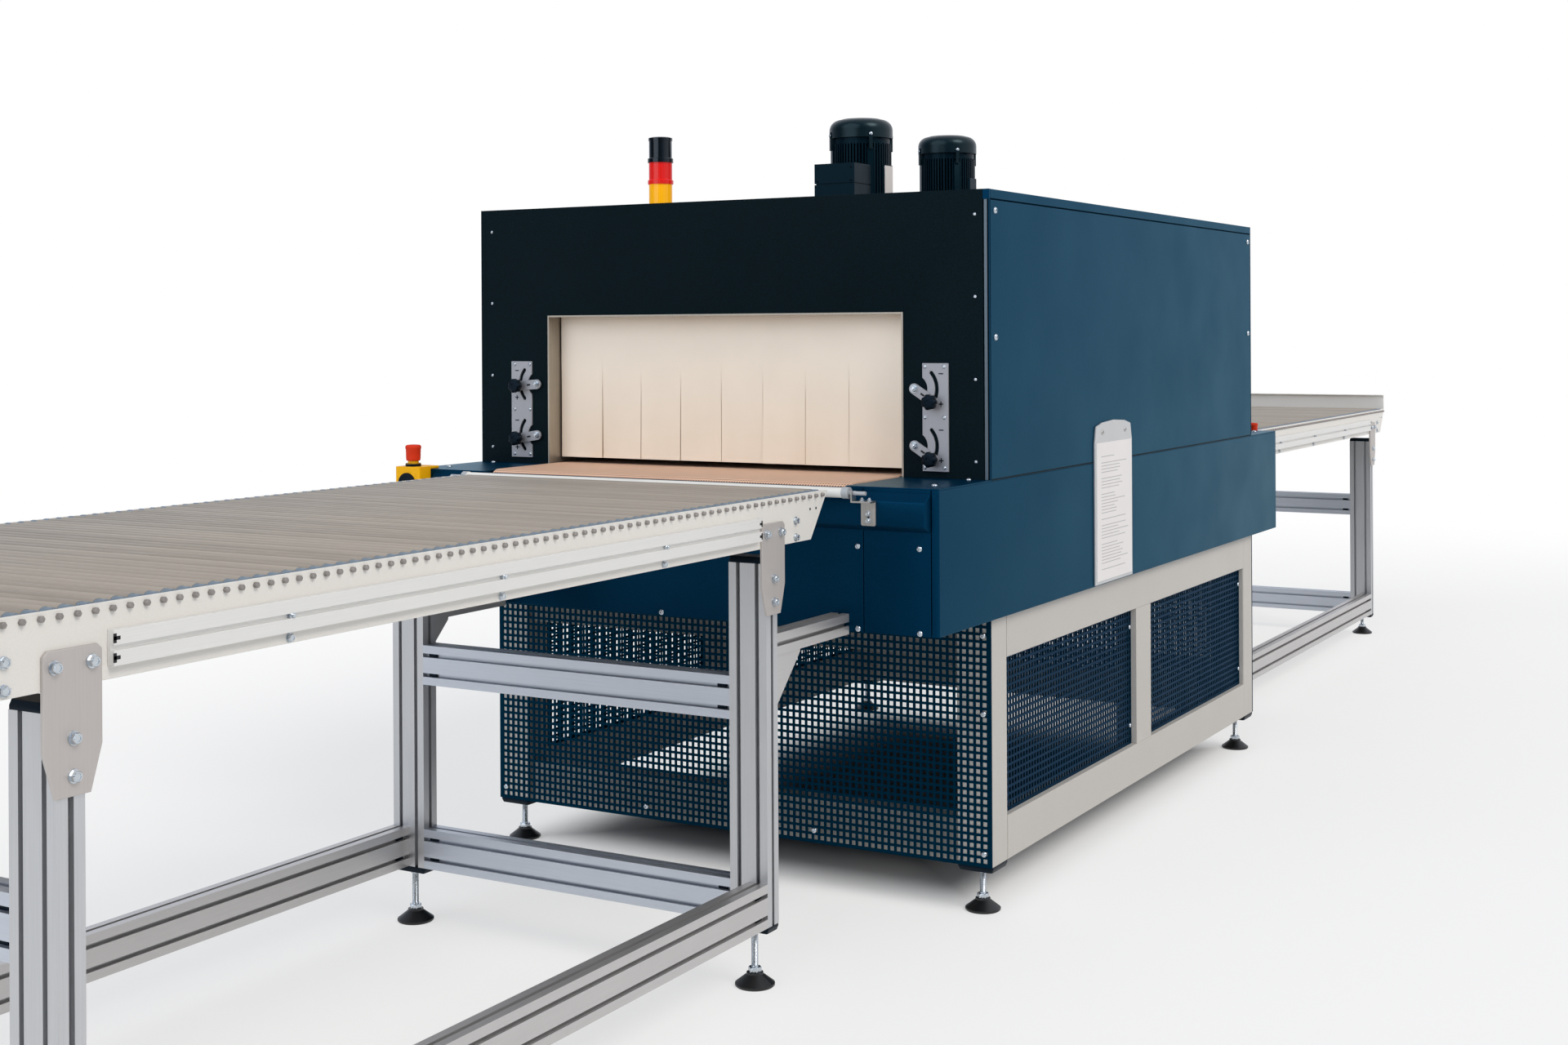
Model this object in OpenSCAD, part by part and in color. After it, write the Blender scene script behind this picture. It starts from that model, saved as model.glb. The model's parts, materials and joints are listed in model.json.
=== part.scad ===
// Heat shrink tunnel with docked infeed and outfeed roller tables.
// +Y is the direction of travel, +X is to the right seen from the infeed end, +Z is up.
// The origin lies on the floor, midway along the line.

/* [Line] */
// Length of the infeed roller table
infeed_len = 2000; // [1500:25:3000]
// Length of the outfeed roller table
outfeed_len = 2175; // [1500:25:3000]
// Gap between the end of a table and the conveyor housing
dock_gap = 85; // [75:5:160]
// Height of the conveyor deck above the floor
deck_z = 900; // [860:10:1000]
// How far the rails of the outfeed table lie below the deck
outfeed_drop = 25; // [0:1:50]
// How far the rails of the infeed table lie below the deck
infeed_drop = 1; // [0:1:20]

// Sideways offset of the tables from the centre line of the tunnel
table_shift = 13; // [-20:1:20]

/* [Base frame] */
// Side of the base frame in from the side of the housing
frame_inset = 18; // [8:1:50]
// Length of the base frame along the line
frame_len = 1846; // [1700:2:1900]
// Front of the base frame behind the front of the hood
frame_setback = 42; // [10:2:60]
// Side of the square corner posts
post = 80; // [60:5:100]
// Width of the two middle posts
mid_post_w = 105; // [60:5:120]
// Height of the rails
rail_h = 92; // [60:2:110]
// Thickness of the rails and middle posts across their face
rail_t = 50; // [40:5:60]
// Underside of the frame above the floor
frame_z = 100; // [80:5:140]
// Corner radius of the square tubes
tube_r = 5; // [2:1:10]
// Thickness of the perforated guards
guard_t = 3; // [2:0.5:5]
// Depth of the side guards behind the face of the frame
guard_inset = 14; // [6:1:30]

/* [Feet] */
// Radius of a foot pad
pad_r = 37; // [25:1:45]
// Height of a foot pad
pad_h = 25; // [20:1:32]
// Radius of a levelling stud
stud_r = 6.5; // [5:0.5:8]
// Height of the black end caps under posts and legs
cap_h = 12; // [4:1:14]

/* [Conveyor housing] */
// Width of the housing and hood on each side of the belt
side_w = 205; // [195:1:260]
// Length of the housing
housing_len = 2327; // [2200:1:2500]
// Height of the housing
housing_h = 286; // [240:2:340]
// Thickness of the sheet panels
sheet = 3; // [2:0.5:4]
// Flange of the side panels round the corners of the housing
side_flange = 15; // [10:1:30]
// Radius of the housing's upright corners
corner_r = 6; // [4:0.5:10]
// Panel seams outside the tunnel opening
seam_off = 32; // [0:1:80]
// Width of a panel seam
seam_gap = 1.5; // [1:0.5:3]
// Projection of the nose covers
nose_d = 17; // [10:1:25]
// Height of the flat face of a nose cover
nose_face_h = 47; // [30:1:60]
// Height of the sloping edge above the face of a nose cover
nose_top_h = 19; // [8:1:24]
// Height of the sloping edge below the face of a nose cover
nose_low_h = 12; // [5:1:20]
// Top of a nose cover below the deck
nose_drop = 8; // [6:1:15]
// End of a nose cover in from the side of the housing
nose_end = 16; // [8:1:40]
// Bevel at the ends of a nose cover
nose_bevel = 5; // [2:1:14]

/* [Belt] */
// Width of the belt
belt_w = 896; // [700:2:1100]
// Gap between the belt and the chamber lining
belt_side_gap = 6; // [4:0.5:12]
// Thickness of the belt
belt_t = 3; // [2:0.5:4]
// Top of the belt above the deck
belt_rise = 2; // [1:0.5:4]
// Radius of the belt drums
drum_r = 30; // [24:1:40]
// Centre of a drum behind the end of the housing
drum_inset = 48; // [45:1:80]
// Radius of the drum shafts
drum_shaft_r = 10; // [6:1:15]
// Gap between the belt and what it runs on
belt_gap = 0.3; // [0.2:0.1:0.6]

/* [Hood] */
// Length of the hood
hood_len = 1830; // [1700:5:1900]
// Front of the hood behind the front of the housing
hood_setback = 246; // [200:1:300]
// Height of the hood
hood_h = 592; // [520:2:680]
// Thickness of the black end panels
panel_t = 6; // [4:0.5:10]
// Width of the bright corner trims
trim_w = 14; // [8:1:24]
// Height of the roof cap
roof_h = 22; // [16:1:40]
// Height of the shadow gap under the roof cap
shadow_h = 3; // [2:0.5:5]
// Depth of the shadow gap under the roof cap
shadow_d = 6; // [3:1:10]
// Height of the tunnel opening above the deck
opening_h = 343; // [280:1:400]
// Thickness of the chamber lining
lining_t = 4; // [3:0.5:5]
// Projection of the lining in front of the end panels
lining_lip = 2; // [0:0.5:4]
// Curtain behind the face of the hood
curtain_inset = 42; // [30:1:80]
// Thickness of a curtain with its two layers
curtain_t = 5; // [4:0.5:8]
// Gap between a curtain and the belt
curtain_gap = 7; // [5:0.5:15]
// Gap between a curtain and the lining at its sides
curtain_side_gap = 3; // [2:0.5:8]

/* [Adjusters] */
// Lever pivots outside the tunnel opening
pivot_off = 28; // [22:1:40]
// Height of the lower pivots above the deck
pivot_low = 66; // [60:1:90]
// Distance between the lower and upper pivots
pivot_pitch = 118; // [110:1:140]
// Radius of the slot arc about its pivot
slot_r = 50; // [46:1:54]
// Half the width of a slot
slot_half_w = 4.2; // [3.8:0.1:5]
// Half the swing of a lever
swing = 38; // [30:1:42]
// Run of a slot past the limit of the swing in degrees
slot_spare = 3; // [2:1:5]
// Width of an adjuster plate
plate_w = 59; // [56:1:64]
// Inner edge of an adjuster plate outside its pivots
plate_off = 17; // [14:1:20]
// Edge of an adjuster plate above and below its pivots
plate_end = 53; // [46:1:56]
// Thickness of an adjuster plate
plate_t = 4; // [3:0.5:6]
// Radius of the notches round the pivots
notch_r = 28.5; // [26:0.5:30]
// Width of a lever
lever_w = 22; // [18:1:24]
// Thickness of a lever
lever_t = 4; // [3:0.5:6]
// Running gap between a lever and its plate
lever_gap = 0.5; // [0.3:0.1:1]
// Radius of a pivot pin
pin_r = 5; // [4:0.5:6]
// Radial clearance of a pin in its bore
pin_clear = 0.05; // [0.03:0.01:0.08]
// Radius of a knob
knob_r = 16; // [13:0.5:18]
// Height of the head of a knob
knob_h = 17; // [12:1:24]
// Height of the neck of a knob
knob_neck_h = 8; // [5:1:12]
// Angle at which the right levers are set
set_right = -32; // [-38:1:38]
// Angle at which the upper left lever is set
set_left_upper = -4; // [-38:1:38]
// Angle at which the lower left lever is set
set_left_lower = -9; // [-38:1:38]

/* [Transfer rollers] */
// Radius of a transfer roller
troller_r = 10; // [8:0.5:12]
// Tube of a transfer roller past each edge of the belt
troller_over = 17; // [0:1:25]
// Running gap between a transfer roller and the nose cover
troller_gap = 7; // [5:1:10]
// Centre of a transfer roller below the deck
troller_drop = 11; // [8:1:16]
// Length of an end ring of a transfer roller
troller_ring = 14; // [8:1:16]
// Radius of the shaft of a transfer roller
tshaft_r = 4; // [3:0.5:5]
// Thickness of the hooks and angle brackets
hook_t = 3; // [2:0.5:4]
// Width of an angle bracket
bracket_w = 32; // [24:1:40]
// Height of an angle bracket
bracket_h = 46; // [34:1:50]
// Half the width of the slot in an angle bracket
bracket_slot = 2.5; // [2:0.5:4]

/* [Emergency stops] */
// Width of an emergency stop box
estop_w = 70; // [60:1:80]
// Depth of an emergency stop box
estop_d = 42; // [40:1:60]
// Height of an emergency stop box
estop_h = 74; // [60:1:90]
// Top of the front box above the deck
estop_rise = 6; // [0:1:20]
// Top of the rear box below the deck
estop_rear_drop = 28; // [10:1:40]
// Overhang of the front box past the side of the housing
estop_over = 16; // [5:1:30]
// Gap between the rear box and the roller bracket beside it
estop_rear_gap = 7; // [4:1:30]
// Radius of the button head
button_r = 16.5; // [14:0.5:19]
// Height of the button head
button_h = 31; // [24:1:36]
// Travel of a button
button_travel = 4; // [2:0.5:5]

/* [Roof] */
// Diameter of a fan motor's cowl
motor_d = 158; // [130:2:170]
// Height of a fan motor
motor_h = 237; // [200:1:280]
// Height of the cowl of a fan motor
cowl_h = 47; // [40:1:80]
// Distance between the two fan motors
motor_pitch = 506; // [400:2:700]
// First fan motor behind the front of the hood
motor_y = 680; // [400:5:800]
// Fan motors right of the centre line
motor_x = 6; // [-30:1:30]
// Number of cooling fins on a fan motor
fins = 30; // [20:2:40]
// Height of the band under the cowl of a fan motor
band_h = 16; // [8:1:20]
// Width of the four upright lugs on a fan motor
lug_w = 16; // [10:1:24]
// Width of the flat pad on the right of a fan motor
flat_w = 40; // [30:1:50]
// Diameter of the signal tower
tower_d = 59; // [50:1:70]
// Height of one module of the signal tower
tower_module = 53; // [45:1:65]
// Signal tower behind the front of the hood
tower_y = 350; // [150:10:500]
// Signal tower left of the centre line
tower_x = 376; // [200:2:500]

/* [Document holder] */
// Width of the document holder
holder_w = 246; // [230:1:300]
// Height of the document holder's board below its head
holder_h = 326; // [310:1:360]
// Height of the document holder's head
holder_head_h = 50; // [40:1:70]
// Thickness of the document holder's board
holder_t = 4; // [3:0.5:6]
// Centre of the document holder behind the front of the hood
holder_y = 704; // [400:1:1400]
// Foot of the document holder above the underside of the housing
holder_low = 3; // [0:1:20]
// Margin of the sheet inside the document holder
sheet_margin = 8; // [4:1:15]

/* [Roller tables] */
// How much narrower a table is over its rails than the belt
table_less = 6; // [0:2:60]
// Height of a side rail
trail_h = 90; // [80:1:110]
// Thickness of a side rail
trail_t = 3; // [2:0.5:4]
// Width of the lower flange of a side rail
trail_flange = 30; // [20:1:34]
// Setback of the lower corner of a rail's end
trail_chamfer = 67; // [40:1:90]
// Pitch of the table rollers
roller_pitch = 25; // [25:1:40]
// Radius of a table roller
roller_r = 10; // [8:0.5:12]
// Top of the table rollers above the rails
roller_rise = 2; // [0:0.5:4]
// Radius of a table roller's shaft
roller_shaft_r = 4; // [3:0.5:5]
// Centre of the end rollers in from the ends of the table, at least
roller_end = 25; // [20:1:60]
// Gap between a table roller's tube and the rail
roller_side_gap = 4; // [2:0.5:8]
// Module of the slotted aluminium profile
profile = 40; // [38:1:42]
// Width of a profile's slot
profile_slot = 8; // [6:0.5:10]
// Distance of a leg's centre from the end of its table
leg_end = 216; // [150:2:300]
// Top of a leg below the lower edge of a rail
leg_drop = 29; // [20:1:50]
// Underside of the infeed table's legs above the floor
infeed_leg_z = 116; // [90:2:140]
// Underside of the outfeed table's legs above the floor
outfeed_leg_z = 78; // [70:2:140]
// Underside of the upper cross beams below the rails
cross_drop = 409; // [340:1:460]
// Thickness of a leg plate
leg_plate_t = 5; // [3:0.5:8]
// Height of a leg plate
leg_plate_h = 168; // [150:2:200]
// Top of a leg plate above the lower edge of a rail
leg_plate_up = 45; // [35:1:70]
// Depth of a slotted side beam
beam_d = 12; // [10:1:24]
// Height of a slotted side beam
beam_h = 42; // [30:1:60]
// Width of the groove along a side beam
beam_groove = 6; // [4:0.5:10]
// Lower edge of a side beam above the lower edge of its rail
beam_low = 16; // [5:1:25]
// Gap between a side beam and a leg plate
beam_gap = 11; // [4:1:20]
// Underside of the docking beams below the rails
dock_drop = 291; // [270:1:292]
// Leg length of a docking bracket
gusset = 92; // [60:1:110]
// Height of the end stop above the outfeed rails
stop_h = 57; // [40:1:90]
// End stop in from the end of the outfeed table
stop_in = 4; // [0:1:6]
// Width of the folded edge along the top of the end stop
stop_fold = 18; // [10:1:30]

/* [Hidden] */
$fn = 64;

// Stations along the line
line_len = infeed_len + outfeed_len + 2 * dock_gap + housing_len;
infeed_y0 = -line_len / 2;
infeed_y1 = infeed_y0 + infeed_len;
housing_y0 = infeed_y1 + dock_gap;
housing_y1 = housing_y0 + housing_len;
housing_mid = (housing_y0 + housing_y1) / 2;
outfeed_y0 = housing_y1 + dock_gap;
outfeed_y1 = outfeed_y0 + outfeed_len;
hood_y0 = housing_y0 + hood_setback;
hood_y1 = hood_y0 + hood_len;
frame_y0 = hood_y0 + frame_setback;
frame_y1 = frame_y0 + frame_len;
frame_mid = (frame_y0 + frame_y1) / 2;

// Heights
housing_z = deck_z - housing_h;
hood_top = deck_z + hood_h;
wall_top = hood_top - roof_h;
belt_top = deck_z + belt_rise;
loop_r = drum_r + belt_gap + belt_t;
drum_z = belt_top - loop_r;
infeed_top = deck_z - infeed_drop;
outfeed_top = deck_z - outfeed_drop;

// Widths and edges
half_w = belt_w / 2 + side_w;
housing_w = 2 * half_w;
frame_w = housing_w - 2 * frame_inset;
panel_half = half_w - trim_w;
open_half = belt_w / 2 + belt_side_gap + lining_t;
deck_in = (belt_w + belt_side_gap) / 2;
seam_x = open_half + seam_off;
table_w = belt_w - table_less;
rail_half = table_w / 2;
belt_y0 = housing_y0 + drum_inset;
belt_y1 = housing_y1 - drum_inset;

// Adjusters
pivot_x = open_half + pivot_off;
pivot_z = [deck_z + pivot_low + pivot_pitch, deck_z + pivot_low];
lever_y = -plate_t - lever_gap;
knob_stud_r = slot_half_w - 0.7;
knob_y = lever_y - lever_t;

// Transfer rollers, measured from the end of the housing
troller_len = belt_w + 2 * troller_over;
troller_off = nose_d + troller_gap + troller_r;
troller_z = deck_z - troller_drop;
bracket_z = troller_z - troller_r - 8;
hook_x = troller_len / 2 + troller_ring + 6;
bracket_x = hook_x + hook_t + 8;

// Emergency stops
estop_x = half_w + estop_over - estop_w / 2;
estop_rear_x = bracket_x + bracket_w + estop_rear_gap + estop_w / 2;
sleeve_r = 12;
collar_r = 17;
collar_h = 7;
sleeve_show = button_travel + 2;
sleeve_deep = 14;

// Both tables as [front, rear, top of rails, underside of legs], and every leg pair as [y, top, underside]
leg_depth = profile;
leg_width = 2 * profile;
TABLES = [
    [infeed_y0, infeed_y1, infeed_top, infeed_leg_z],
    [outfeed_y0, outfeed_y1, outfeed_top, outfeed_leg_z]
];
plate_half = profile + 1;
LEGS = [
    for (t = TABLES, y = [t[0] + leg_end, t[1] - leg_end])
        [y, t[2], t[3]]
];

// Colours
blue = [0.11, 0.27, 0.38];
black = [0.07, 0.09, 0.11];
grey_paint = [0.73, 0.71, 0.68];
alu = [0.72, 0.74, 0.77];
stainless = [0.66, 0.65, 0.63];
white_paint = [0.86, 0.85, 0.83];

// Places a copy on both sides of the line
module both_sides() {
    for (side = [0, 1])
        mirror([side, 0, 0])
            children();
}

// Places a copy at the front and, turned half a turn, at the rear of the housing
module both_ends() {
    translate([0, housing_y0, 0])
        children();
    translate([0, housing_y1, 0])
        rotate([0, 0, 180])
            children();
}

// Square with round corners, from its centre
module round_square(w, d, r) {
    square([w - 2 * r, d], center = true);
    square([w, d - 2 * r], center = true);
    for (x = [-1, 1], y = [-1, 1])
        translate([x * (w / 2 - r), y * (d / 2 - r)])
            circle(r = r);
}

// Box from two opposite corners
module span(low, high) {
    translate(low)
        cube(high - low);
}

// Section of a slotted profile, w by d modules, from its centre
module profile_section(w, d) {
    slot_open = profile_slot;
    slot_lip = 4.5;
    slot_deep = 11;
    slot_wide = 2 * profile_slot;
    difference() {
        square([w * profile, d * profile], center = true);
        for (turn = [0, 1]) {
            across = turn == 0 ? w : d;
            reach = (turn == 0 ? d : w) * profile / 2;
            for (i = [0:across - 1], face = [-1, 1])
                rotate(turn * 90)
                    translate([(i - (across - 1) / 2) * profile, face * reach]) {
                        square([slot_open, 2 * slot_deep], center = true);
                        translate([0, -face * (slot_lip + slot_deep) / 2])
                            square([slot_wide, slot_deep - slot_lip], center = true);
                    }
        }
    }
}

// Profile standing on its end
module profile_post(w, d, h) {
    linear_extrude(height = h)
        profile_section(w, d);
}

// Profile lying along X, w modules deep and d modules high
module profile_along_x(w, d, l) {
    rotate([90, 0, 90])
        translate([0, 0, -l / 2])
            linear_extrude(height = l)
                profile_section(w, d);
}

// Profile lying along Y, w modules wide and d modules high
module profile_along_y(w, d, l) {
    rotate([90, 0, 0])
        translate([0, 0, -l / 2])
            linear_extrude(height = l)
                profile_section(w, d);
}

// Places a copy under each post of the tunnel
module at_post_feet() {
    for (x = [-1, 1], y = [frame_y0 + post / 2, frame_y1 - post / 2])
        translate([x * (frame_w / 2 - post / 2), y, frame_z])
            children();
}

// Base frame of the tunnel
module frame_posts() {
    color(grey_paint) {
        for (x = [-1, 1], y = [frame_y0 + post / 2, frame_y1 - post / 2])
            translate([x * (frame_w - post) / 2, y, frame_z])
                linear_extrude(height = housing_z - frame_z)
                    round_square(post, post, tube_r);
        for (x = [-1, 1])
            translate([x * (frame_w - rail_t) / 2, frame_mid, frame_z + rail_h])
                linear_extrude(height = housing_z - frame_z - 2 * rail_h)
                    square([rail_t, mid_post_w], center = true);
    }
}

module frame_rails() {
    side_len = frame_len - 2 * post;
    cross_len = frame_w - 2 * post;
    color(grey_paint)
        for (z = [frame_z + rail_h / 2, housing_z - rail_h / 2]) {
            for (x = [-1, 1])
                translate([x * (frame_w - rail_t) / 2, frame_mid, z])
                    cube([rail_t, side_len, rail_h], center = true);
            for (y = [frame_y0 + post / 2, frame_y1 - post / 2])
                translate([0, y, z])
                    cube([cross_len, rail_t, rail_h], center = true);
        }
}

// End cap on a tube, drawn in a little above its straight rim
module end_cap(w, d, r) {
    rim_h = cap_h * 0.4;
    linear_extrude(height = rim_h)
        round_square(w, d, r);
    translate([0, 0, rim_h])
        linear_extrude(height = cap_h - rim_h, scale = 0.93)
            round_square(w, d, r);
}

module end_caps() {
    color(black) {
        at_post_feet()
            mirror([0, 0, 1])
                end_cap(post, post, tube_r);
        for (x = [-1, 1], leg = LEGS)
            translate([table_shift + x * (rail_half - leg_width / 2), leg[0], 0]) {
                translate([0, 0, leg[2]])
                    mirror([0, 0, 1])
                        end_cap(leg_width, leg_depth, tube_r / 2);
                translate([0, 0, leg[1] - trail_h - leg_drop])
                    end_cap(leg_width, leg_depth, tube_r / 2);
            }
    }
}

// Stud of a levelling foot with its collar and nut, hanging from the origin
module foot_stud(reach) {
    nut_r = stud_r * 1.95;
    nut_h = stud_r * 1.5;
    collar_h = 5;
    translate([0, 0, -reach])
        cylinder(r = stud_r, h = reach);
    translate([0, 0, -collar_h])
        cylinder(r = stud_r * 1.5, h = collar_h);
    translate([0, 0, -reach])
        cylinder(r = nut_r, h = nut_h, $fn = 6);
}

module foot_studs() {
    color("lightsteelblue") {
        at_post_feet()
            translate([0, 0, -cap_h])
                foot_stud(frame_z - cap_h - pad_h);
        for (x = [-1, 1], leg = LEGS)
            translate([table_shift + x * (rail_half - leg_width / 2), leg[0], leg[2] - cap_h])
                foot_stud(leg[2] - cap_h - pad_h);
    }
}

module foot_pad() {
    rim_h = pad_h * 0.22;
    shoulder_r = pad_r * 0.42;
    rotate_extrude()
        polygon([[0, 0], [pad_r - 2, 0], [pad_r, 2], [pad_r, rim_h], [shoulder_r, pad_h - 3],
            [shoulder_r, pad_h], [0, pad_h]]);
}

module foot_pads() {
    color(black) {
        at_post_feet()
            translate([0, 0, -frame_z])
                foot_pad();
        for (x = [-1, 1], leg = LEGS)
            translate([table_shift + x * (rail_half - leg_width / 2), leg[0], 0])
                foot_pad();
    }
}

module end_guards() {
    color(blue)
        for (y = [frame_y0 - guard_t, frame_y1])
            span([-frame_w / 2, y, frame_z], [frame_w / 2, y + guard_t, housing_z]);
}

module side_guards() {
    window_len = (frame_len - 2 * post - mid_post_w) / 2;
    window_h = housing_z - frame_z - 2 * rail_h;
    face = frame_w / 2 - guard_inset;
    color(blue)
        both_sides()
            for (y = [frame_y0 + post, frame_mid + mid_post_w / 2])
                translate([face - guard_t, y, frame_z + rail_h])
                    cube([guard_t, window_len, window_h]);
}

// Conveyor housing
module housing_plan(inset) {
    translate([0, housing_mid])
        round_square(housing_w - 2 * inset, housing_len - 2 * inset, corner_r - inset);
}

// Strip of the housing's plan from x = from outwards
module outer_strip(from) {
    translate([from, housing_y0])
        square([half_w - from, housing_len]);
}

module housing_floor() {
    color(blue)
        translate([0, 0, housing_z])
            linear_extrude(height = sheet)
                housing_plan(sheet);
}

// Side panels folded round the corners of the housing
module housing_side_panels() {
    color(blue)
        both_sides()
            translate([0, 0, housing_z])
                linear_extrude(height = housing_h - sheet)
                    intersection() {
                        difference() {
                            housing_plan(0);
                            housing_plan(sheet);
                        }
                        outer_strip(half_w - side_flange);
                    }
}

module housing_end_panels() {
    top = deck_z - sheet;
    end = half_w - side_flange - seam_gap;
    color(blue)
        both_ends() {
            span([-seam_x, 0, housing_z], [seam_x, sheet, top]);
            both_sides()
                span([seam_x + seam_gap, 0, housing_z], [end, sheet, top]);
        }
}

module nose_covers() {
    z0 = deck_z - nose_drop;
    tall = nose_top_h + nose_face_h + nose_low_h;
    left_end = half_w - max(nose_end, estop_w - estop_over + 6);
    right_end = half_w - nose_end;
    color(blue)
        both_ends()
            intersection() {
                translate([-left_end, 0, z0])
                    rotate([90, 0, 90])
                        linear_extrude(height = left_end + right_end)
                            polygon([[0, 0], [-nose_d, -nose_top_h], [-nose_d, nose_low_h - tall], [0, -tall]]);
                translate([0, 0, z0 - tall])
                    linear_extrude(height = tall)
                        polygon([[-left_end, 0], [nose_bevel - left_end, -nose_d],
                            [right_end - nose_bevel, -nose_d], [right_end, 0]]);
            }
}

module decks() {
    color(blue)
        both_sides()
            translate([0, 0, deck_z - sheet])
                linear_extrude(height = sheet)
                    intersection() {
                        housing_plan(0);
                        outer_strip(deck_in);
                    }
}

// Outline of a belt loop of radius r in the plane of travel and height
module loop_outline(r) {
    translate([belt_y0, drum_z])
        circle(r = r);
    translate([belt_y1, drum_z])
        circle(r = r);
    translate([belt_y0, drum_z - r])
        square([belt_y1 - belt_y0, 2 * r]);
}

module belt() {
    color([0.80, 0.65, 0.55])
        rotate([90, 0, 90])
            translate([0, 0, -belt_w / 2])
                linear_extrude(height = belt_w)
                    difference() {
                        loop_outline(loop_r);
                        loop_outline(loop_r - belt_t);
                    }
}

// Slider bed between the two runs of the belt, carried by two cross bars
module belt_bed() {
    bed_end = drum_r + 12;
    bar_r = drum_r / 3;
    bed_half = drum_r + belt_gap - 0.3;
    color(stainless) {
        span([-belt_w / 2, belt_y0 + bed_end, drum_z - bed_half], [belt_w / 2, belt_y1 - bed_end, drum_z + bed_half]);
        for (y = [belt_y0 + 3 * bed_end, belt_y1 - 3 * bed_end])
            translate([-half_w + sheet, y, drum_z])
                rotate([0, 90, 0])
                    cylinder(r = bar_r, h = housing_w - 2 * sheet);
    }
}

module belt_drums() {
    color(stainless)
        for (y = [belt_y0, belt_y1])
            translate([0, y, drum_z])
                rotate([0, 90, 0]) {
                    cylinder(r = drum_r, h = belt_w, center = true);
                    cylinder(r = drum_shaft_r, h = housing_w - 2 * sheet, center = true);
                }
}

// Hood
module hood_side_panels() {
    color(blue)
        both_sides()
            span([half_w - sheet, hood_y0 + panel_t, deck_z], [half_w, hood_y1 - panel_t, wall_top]);
}

module hood_roof() {
    y0 = hood_y0 + panel_t;
    y1 = hood_y1 - panel_t;
    color(blue) {
        span([-half_w, y0, wall_top + shadow_h], [half_w, y1, hood_top]);
        span([-half_w + shadow_d, y0, wall_top], [half_w - shadow_d, y1, wall_top + shadow_h]);
        both_sides()
            span([half_w - shadow_d - sheet, y0, wall_top - roof_h], [half_w - sheet, y1, wall_top]);
    }
}

// Black end panel with the tunnel opening, its outer face at y = 0
module end_panel() {
    difference() {
        span([-panel_half, 0, deck_z], [panel_half, panel_t, hood_top]);
        span([-open_half, -1, deck_z - 1], [open_half, panel_t + 1, deck_z + opening_h]);
    }
}

module front_panel() {
    color(black)
        translate([0, hood_y0, 0])
            difference() {
                end_panel();
                for (x = [-pivot_x, pivot_x], z = pivot_z)
                    translate([x, panel_t + 1, z])
                        rotate([90, 0, 0])
                            cylinder(r = pin_r + pin_clear, h = panel_t + 2);
            }
}

module rear_panel() {
    color(black)
        translate([0, hood_y1, 0])
            rotate([0, 0, 180])
                end_panel();
}

module corner_trims() {
    color(stainless)
        both_sides()
            for (y = [hood_y0, hood_y1 - panel_t])
                span([panel_half, y, deck_z], [half_w, y + panel_t, hood_top]);
}

module chamber_lining() {
    y0 = hood_y0 - lining_lip;
    y1 = hood_y1 + lining_lip;
    top = deck_z + opening_h;
    color(stainless)
        difference() {
            span([-open_half, y0, deck_z], [open_half, y1, top]);
            span([-open_half + lining_t, y0 - 1, deck_z - 1], [open_half - lining_t, y1 + 1, top - lining_t]);
        }
}

// Slit curtain hanging under the lining, from its outer face at y = 0
module curtain() {
    half = open_half - lining_t - curtain_side_gap;
    color([0.90, 0.86, 0.79])
        span([-half, 0, belt_top + curtain_gap], [half, curtain_t, deck_z + opening_h - lining_t]);
}

module front_curtain() {
    translate([0, hood_y0 + curtain_inset, 0])
        curtain();
}

module rear_curtain() {
    translate([0, hood_y1 - curtain_inset, 0])
        rotate([0, 0, 180])
            curtain();
}

// Outline of the arc slot about a pivot at the origin
module arc_slot() {
    limit = swing + slot_spare;
    reach = slot_r * 2;
    intersection() {
        difference() {
            circle(r = slot_r + slot_half_w);
            circle(r = slot_r - slot_half_w);
        }
        polygon([[0, 0], [reach * cos(limit), -reach * sin(limit)], [reach * 1.5, 0],
            [reach * cos(limit), reach * sin(limit)]]);
    }
    for (a = [-limit, limit])
        rotate(a)
            translate([slot_r, 0])
                circle(r = slot_half_w);
}

module adjuster_plates() {
    low = deck_z + pivot_low - plate_end + 1;
    tall = pivot_pitch + 2 * plate_end - 1;
    color(stainless)
        both_sides()
            translate([0, hood_y0, 0])
                rotate([90, 0, 0])
                    linear_extrude(height = plate_t)
                        difference() {
                            translate([pivot_x + plate_off, low])
                                square([plate_w, tall]);
                            for (z = pivot_z)
                                translate([pivot_x, z]) {
                                    circle(r = notch_r);
                                    arc_slot();
                                }
                        }
}

// Star knob on its neck, standing on the origin along +Z
module star_knob() {
    lobes = 7;
    lobe_r = knob_r * 0.3;
    cylinder(r = knob_r * 0.45, h = knob_neck_h);
    translate([0, 0, knob_neck_h])
        linear_extrude(height = knob_h) {
            circle(r = knob_r * 0.82);
            for (i = [0:lobes - 1])
                rotate(i * 360 / lobes)
                    translate([knob_r - lobe_r, 0])
                        circle(r = lobe_r);
        }
}

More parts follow.
